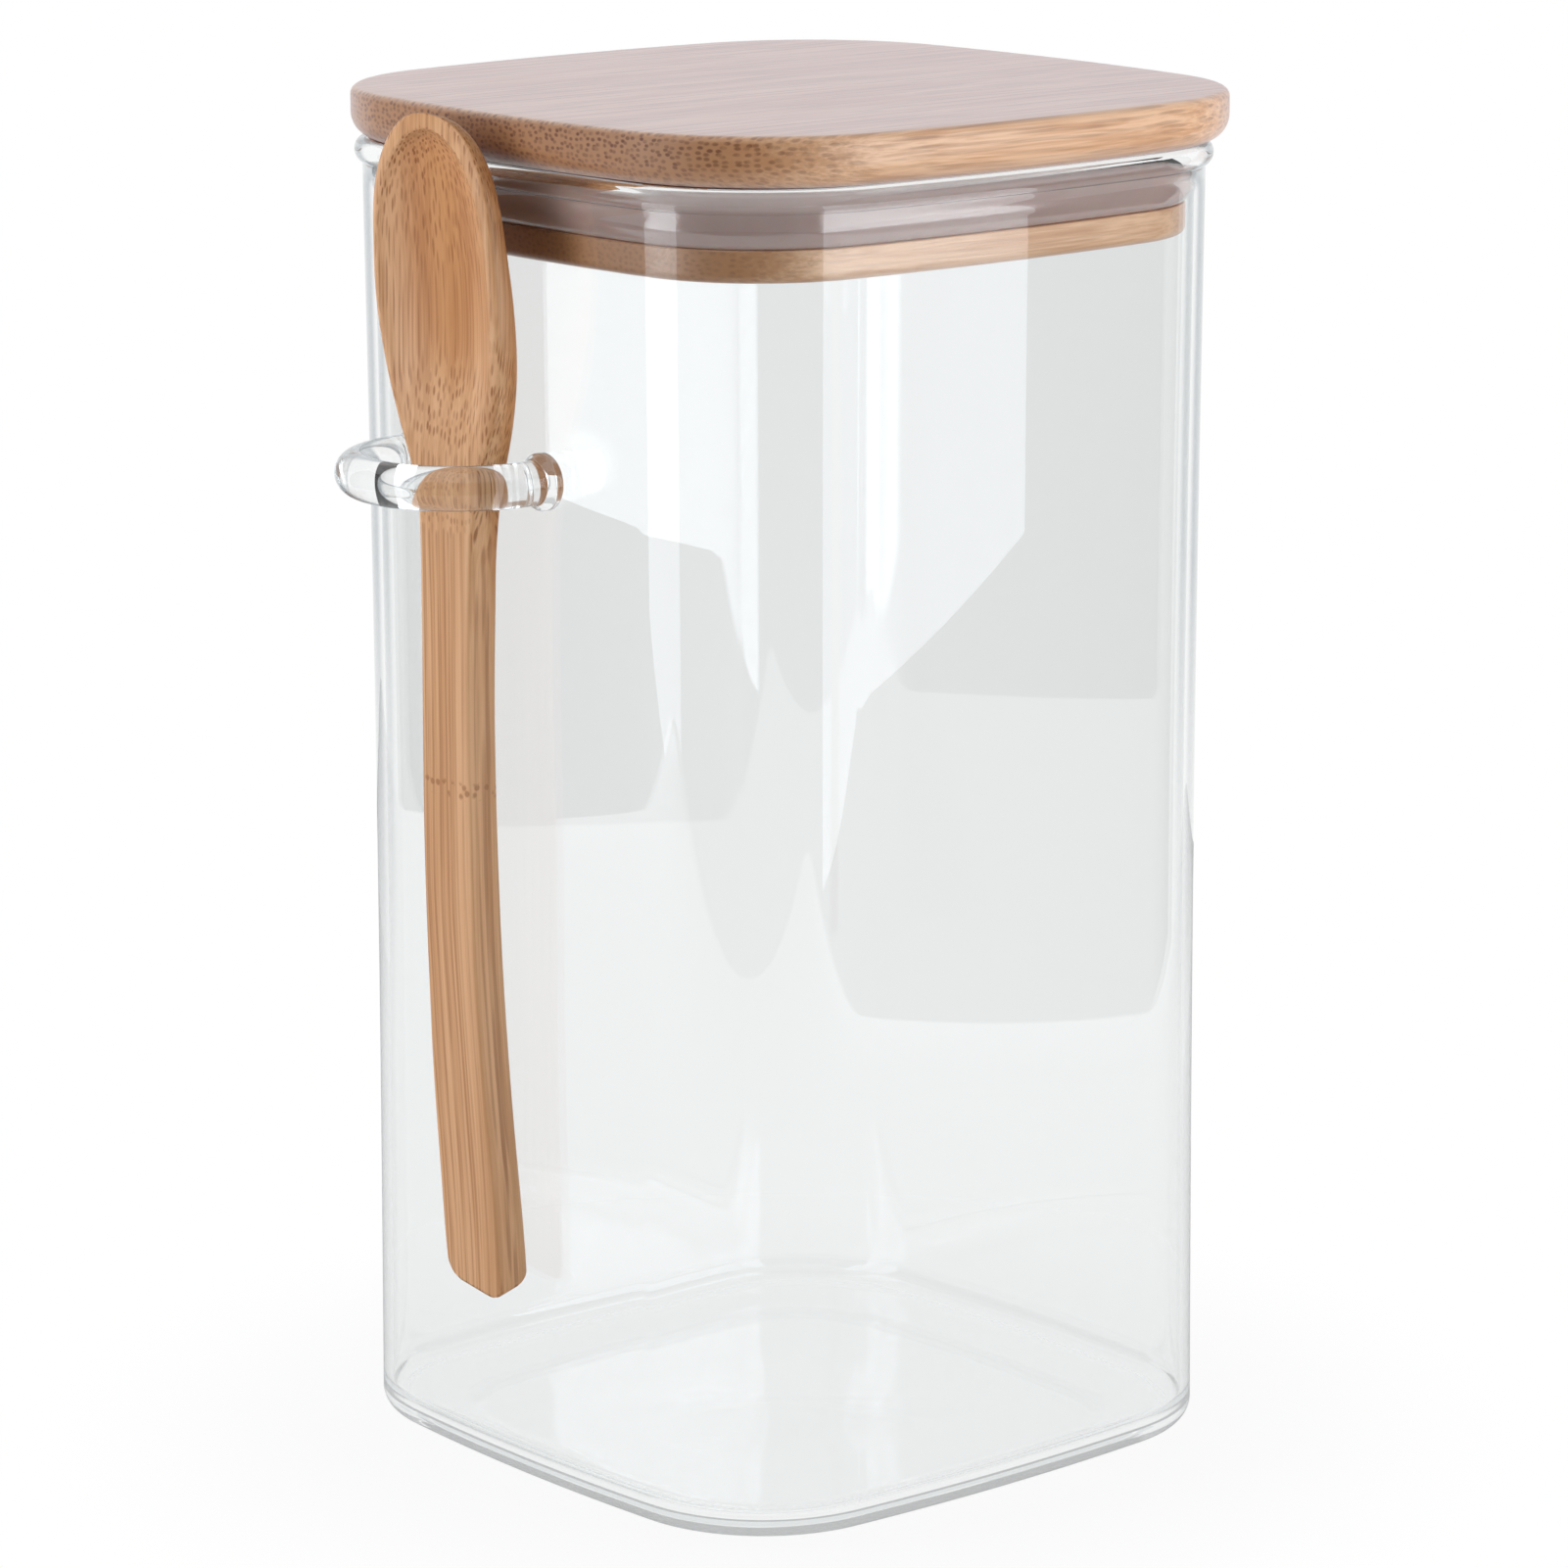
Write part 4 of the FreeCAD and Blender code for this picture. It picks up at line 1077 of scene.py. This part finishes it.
@dataclass(frozen=True)
class Viewpoint:
    """The photograph's camera, worked out from the jar's edges."""

    stand: Triple = (0.65470, -0.55303, 0.29193)
    heading: float = 49.812
    dip: float = 12.900
    roll: float = -0.136
    lens_mm: float = 139.9
    sensor_mm: float = 36.0

    def build(self) -> None:
        """Makes the camera and gives it to the scene."""
        data = bpy.data.cameras.new("photograph")
        data.lens = self.lens_mm
        data.sensor_width = self.sensor_mm
        camera = bpy.data.objects.new("photograph", data)
        turn = (Matrix.Rotation(math.radians(self.heading), 4, "Z")
                @ Matrix.Rotation(math.radians(90.0 - self.dip), 4, "X")
                @ Matrix.Rotation(math.radians(self.roll), 4, "Z"))
        camera.matrix_world = Matrix.Translation(self.stand) @ turn
        bpy.context.scene.collection.objects.link(camera)
        bpy.context.scene.camera = camera


@dataclass(frozen=True)
class SoftBox:
    """A soft box: an upright rectangle of light that shines on the jar, in metres.

    Each of its two upright edges has an azimuth in degrees and a distance.
    """

    name: str
    near: Pair
    far: Pair
    high: float
    brightness: float
    gleam: float
    low: float = -0.02
    colour: str = "#F6FAFF"

    def build(self) -> None:
        """Makes two lamps: one lights matt things, and the other is what mirrors show."""
        self.build_lamp(self.name, self.brightness).visible_glossy = False
        mirrored = self.build_lamp(self.name + "_gleam", self.gleam)
        mirrored.visible_diffuse = False
        mirrored.visible_transmission = False

    def build_lamp(self, name: str, brightness: float) -> bpy.types.Object:
        """Makes a lamp that fills the box.

        Args:
            name: name of the lamp.
            brightness: its radiance, where 1 is white.

        Returns:
            The lamp.
        """
        level = (self.low + self.high) / 2
        first, last = (
            Matrix.Rotation(math.radians(azimuth), 3, "Z") @ Vector((reach, 0.0, level))
            for azimuth, reach in (self.near, self.far)
        )
        data = bpy.data.lights.new(name, "AREA")
        data.shape = "RECTANGLE"
        data.size = (last - first).length
        data.size_y = self.high - self.low
        data.color = linear(self.colour)[:3]
        data.energy = brightness * math.pi * data.size * data.size_y
        lamp = bpy.data.objects.new(name, data)
        stand = (first + last) / 2
        aim = Vector((0.0, 0.0, 1.0)).cross((last - first).normalized())
        aim = aim if aim.dot(stand) < 0 else -aim
        lamp.matrix_world = Matrix.Translation(stand) @ aim.to_track_quat("-Z", "Y").to_matrix().to_4x4()
        bpy.context.scene.collection.objects.link(lamp)
        return lamp


@dataclass(frozen=True)
class Studio:
    """The plain surroundings: a small pale table, white all round, soft boxes and a dark screen to mirror.

    The table's shape is in millimetres, angles are in degrees and everything else is in metres.
    """

    table: SoftSquare = SoftSquare(750.0, 40.0, 20000.0)
    table_shift: Pair = (-73.0, 0.0)
    table_turn: float = 40.2
    table_top: float = -0.05
    table_depth: float = 2.0
    table_steps: int = 12
    table_fade: Pair = (0.052, 0.115)
    table_colour: str = "#F2F2F2"
    table_white: float = 0.92
    table_caught: float = 0.42
    fill: float = 0.95
    fill_below: float = 0.6
    room: float = 0.35
    room_azimuth: float = -40.2
    room_edge: Pair = (0.55, 0.85)
    screen_radii: Pair = (1.2, 1.212)
    screen_heights: Pair = (-1.0, 1.1)
    screen_azimuths: Pair = (-155.0, 75.0)
    screen_steps: int = 64
    screen_brightness: float = 0.06
    boxes: tuple[SoftBox, ...] = (
        SoftBox("left_soft_box", (-95.7, 0.543), (-123.1, 0.751), high=0.8, brightness=3.2, gleam=2.5),
        SoftBox("right_soft_box", (0.0, 0.505), (41.1, 0.854), high=0.5, brightness=3.4, gleam=2.9),
    )

    def build_table(self) -> None:
        """Makes the table: a thin rounded plate that shows the jar's shadow and fades into the white."""
        share = np.linspace(0.0, 1.0, self.table_steps)
        profile = np.vstack([
            disc(0.0, self.table_top, share),
            disc(0.0, self.table_top - self.table_depth, share[::-1]),
        ])
        turn = np.array(Matrix.Rotation(math.radians(self.table_turn), 3, "Z"))
        table = skin("table", self.table.carry(profile, self.table_shift) @ turn.T)
        material, tree = new_material("pale_table_matt")
        where = add(tree, "ShaderNodeTexCoord").outputs["Object"]
        away = add(tree, "ShaderNodeVectorMath", {0: where}, operation="LENGTH").outputs["Value"]
        fade = ramp(tree, away, *self.table_fade, self.table_white)
        path = add(tree, "ShaderNodeLightPath").outputs
        seen = maths(tree, "MAXIMUM", path["Is Camera Ray"], path["Is Transmission Ray"])
        caught = maths(tree, "GREATER_THAN", path["Glossy Depth"], CAUGHT_AFTER)
        seen = maths(tree, "MAXIMUM", seen, maths(tree, "MULTIPLY", caught, self.table_caught))
        matt = add(tree, "ShaderNodeBsdfDiffuse", {"Color": linear(self.table_colour)}).outputs[0]
        white = add(tree, "ShaderNodeEmission", {"Strength": 1.0}).outputs[0]
        mixed = mix_shaders(tree, maths(tree, "MULTIPLY", fade, seen), matt, white)
        add(tree, "ShaderNodeOutputMaterial", {"Surface": mixed})
        table.data.materials.append(material)

    def build_screen(self) -> None:
        """Makes the dark screen: a curved wall that only light with exactly one mirror reflection meets."""
        start, end = (math.radians(azimuth) for azimuth in self.screen_azimuths)
        azimuth = np.linspace(start, end, self.screen_steps)[:, None]
        reach = np.repeat(self.screen_radii, 2) / MM
        height = np.array(self.screen_heights)[[0, 1, 1, 0]] / MM
        places = np.broadcast_arrays(reach * np.cos(azimuth), reach * np.sin(azimuth), height)
        screen = skin("dark_screen", capped(np.stack(places, axis=-1)))
        material, tree = new_material("dark_screen_matt")
        path = add(tree, "ShaderNodeLightPath").outputs
        once = maths(tree, "COMPARE", path["Glossy Depth"], 1.0, 0.5)
        dark = add(tree, "ShaderNodeEmission", {"Strength": self.screen_brightness}).outputs[0]
        gone = add(tree, "ShaderNodeBsdfTransparent").outputs[0]
        add(tree, "ShaderNodeOutputMaterial", {"Surface": mix_shaders(tree, once, gone, dark)})
        screen.data.materials.append(material)
        screen.visible_camera = False
        screen.visible_diffuse = False
        screen.visible_shadow = False

    def build_world(self) -> None:
        """Makes the world: white to the eye, in mirrors and through glass, and a fill on matt things.

        The fill is strongest at the horizon, has one value below it, and is dimmed round the camera.
        """
        world = bpy.data.worlds.new("studio")
        world.use_nodes = True
        tree = world.node_tree
        tree.nodes.clear()
        path = add(tree, "ShaderNodeLightPath").outputs
        looked = maths(tree, "MAXIMUM", path["Is Camera Ray"], path["Is Glossy Ray"])
        seen = maths(tree, "MAXIMUM", looked, path["Is Transmission Ray"])
        where = add(tree, "ShaderNodeTexCoord").outputs["Generated"]
        upward = axes(tree, where)["Z"]
        above = ramp(tree, upward, 0.0, 1.0, self.fill, 0.0, "LINEAR")
        below = maths(tree, "LESS_THAN", upward, 0.0)
        fill = add(tree, "ShaderNodeMix", {"Factor": below, "A": above, "B": self.fill_below})
        aim = math.radians(self.room_azimuth)
        camera_way = {0: where, 1: (math.cos(aim), math.sin(aim), 0.0)}
        toward = add(tree, "ShaderNodeVectorMath", camera_way, operation="DOT_PRODUCT").outputs["Value"]
        room = ramp(tree, toward, *self.room_edge, 1.0, self.room)
        dimmed = maths(tree, "MULTIPLY", fill.outputs["Result"], room)
        level = add(tree, "ShaderNodeMix", {"Factor": seen, "A": dimmed, "B": 1.0}).outputs["Result"]
        light = add(tree, "ShaderNodeBackground", {"Color": WHITE, "Strength": level})
        add(tree, "ShaderNodeOutputWorld", {"Surface": light.outputs[0]})
        bpy.context.scene.world = world

    def build(self) -> None:
        """Sets up the table, the surroundings, the lamps and the plain view transform."""
        self.build_table()
        self.build_screen()
        self.build_world()
        for box in self.boxes:
            box.build()
        bpy.context.scene.view_settings.view_transform = "Standard"


def main() -> None:
    """Builds the jar, its loop, its lid and its spoon, and the studio round them."""
    logging.basicConfig(level=logging.INFO, format="%(name)s: %(message)s")
    Viewpoint().build()
    Studio().build()
    glass = BlownGlass().material()
    lid_bamboo = Bamboo(
        "bamboo_sanded_across", Grain.ACROSS, pale="#F0C299", tan="#D8A275", fibre="#74401F", end="#B58053",
        bundle_mm=(1.05, 0.72, 9.0), streak_mm=1.2, satin=1.0, crowded_mm=(187.0, 195.5), core=(0.46, 0.2),
        line_length_mm=16.0, bloom=0.12,
    ).material()
    spoon_bamboo = Bamboo(
        "bamboo_carved_upright", Grain.UPRIGHT, pale="#E7B486", tan="#D39C6D", fibre="#99592A",
        end="#B98352", bundle_mm=(0.82, 0.3, 16.0), streak_mm=1.0, satin=0.15, knuckle_mm=103.0,
        # painted shade: the pale brown tint on the next line darkens the bowl's hollow
        carved_mm=(138.0, 148.0, -55.0), slant=(0.03, 0.2), along_share=0.5, hollow_shade="#E8D4B8",
        follow_mm=(-2.2, -1.6), gloss=0.3,
    ).material()
    jar = GlassJar()
    jar.build(glass)
    SpoonLoop(jar).build(glass)
    lid = BambooLid()
    lid.build_plate(lid_bamboo)
    lid.build_plug(lid_bamboo)
    lid.build_seal(Silicone().material())
    BambooSpoon().build(spoon_bamboo)


if __name__ == "__main__":
    main()
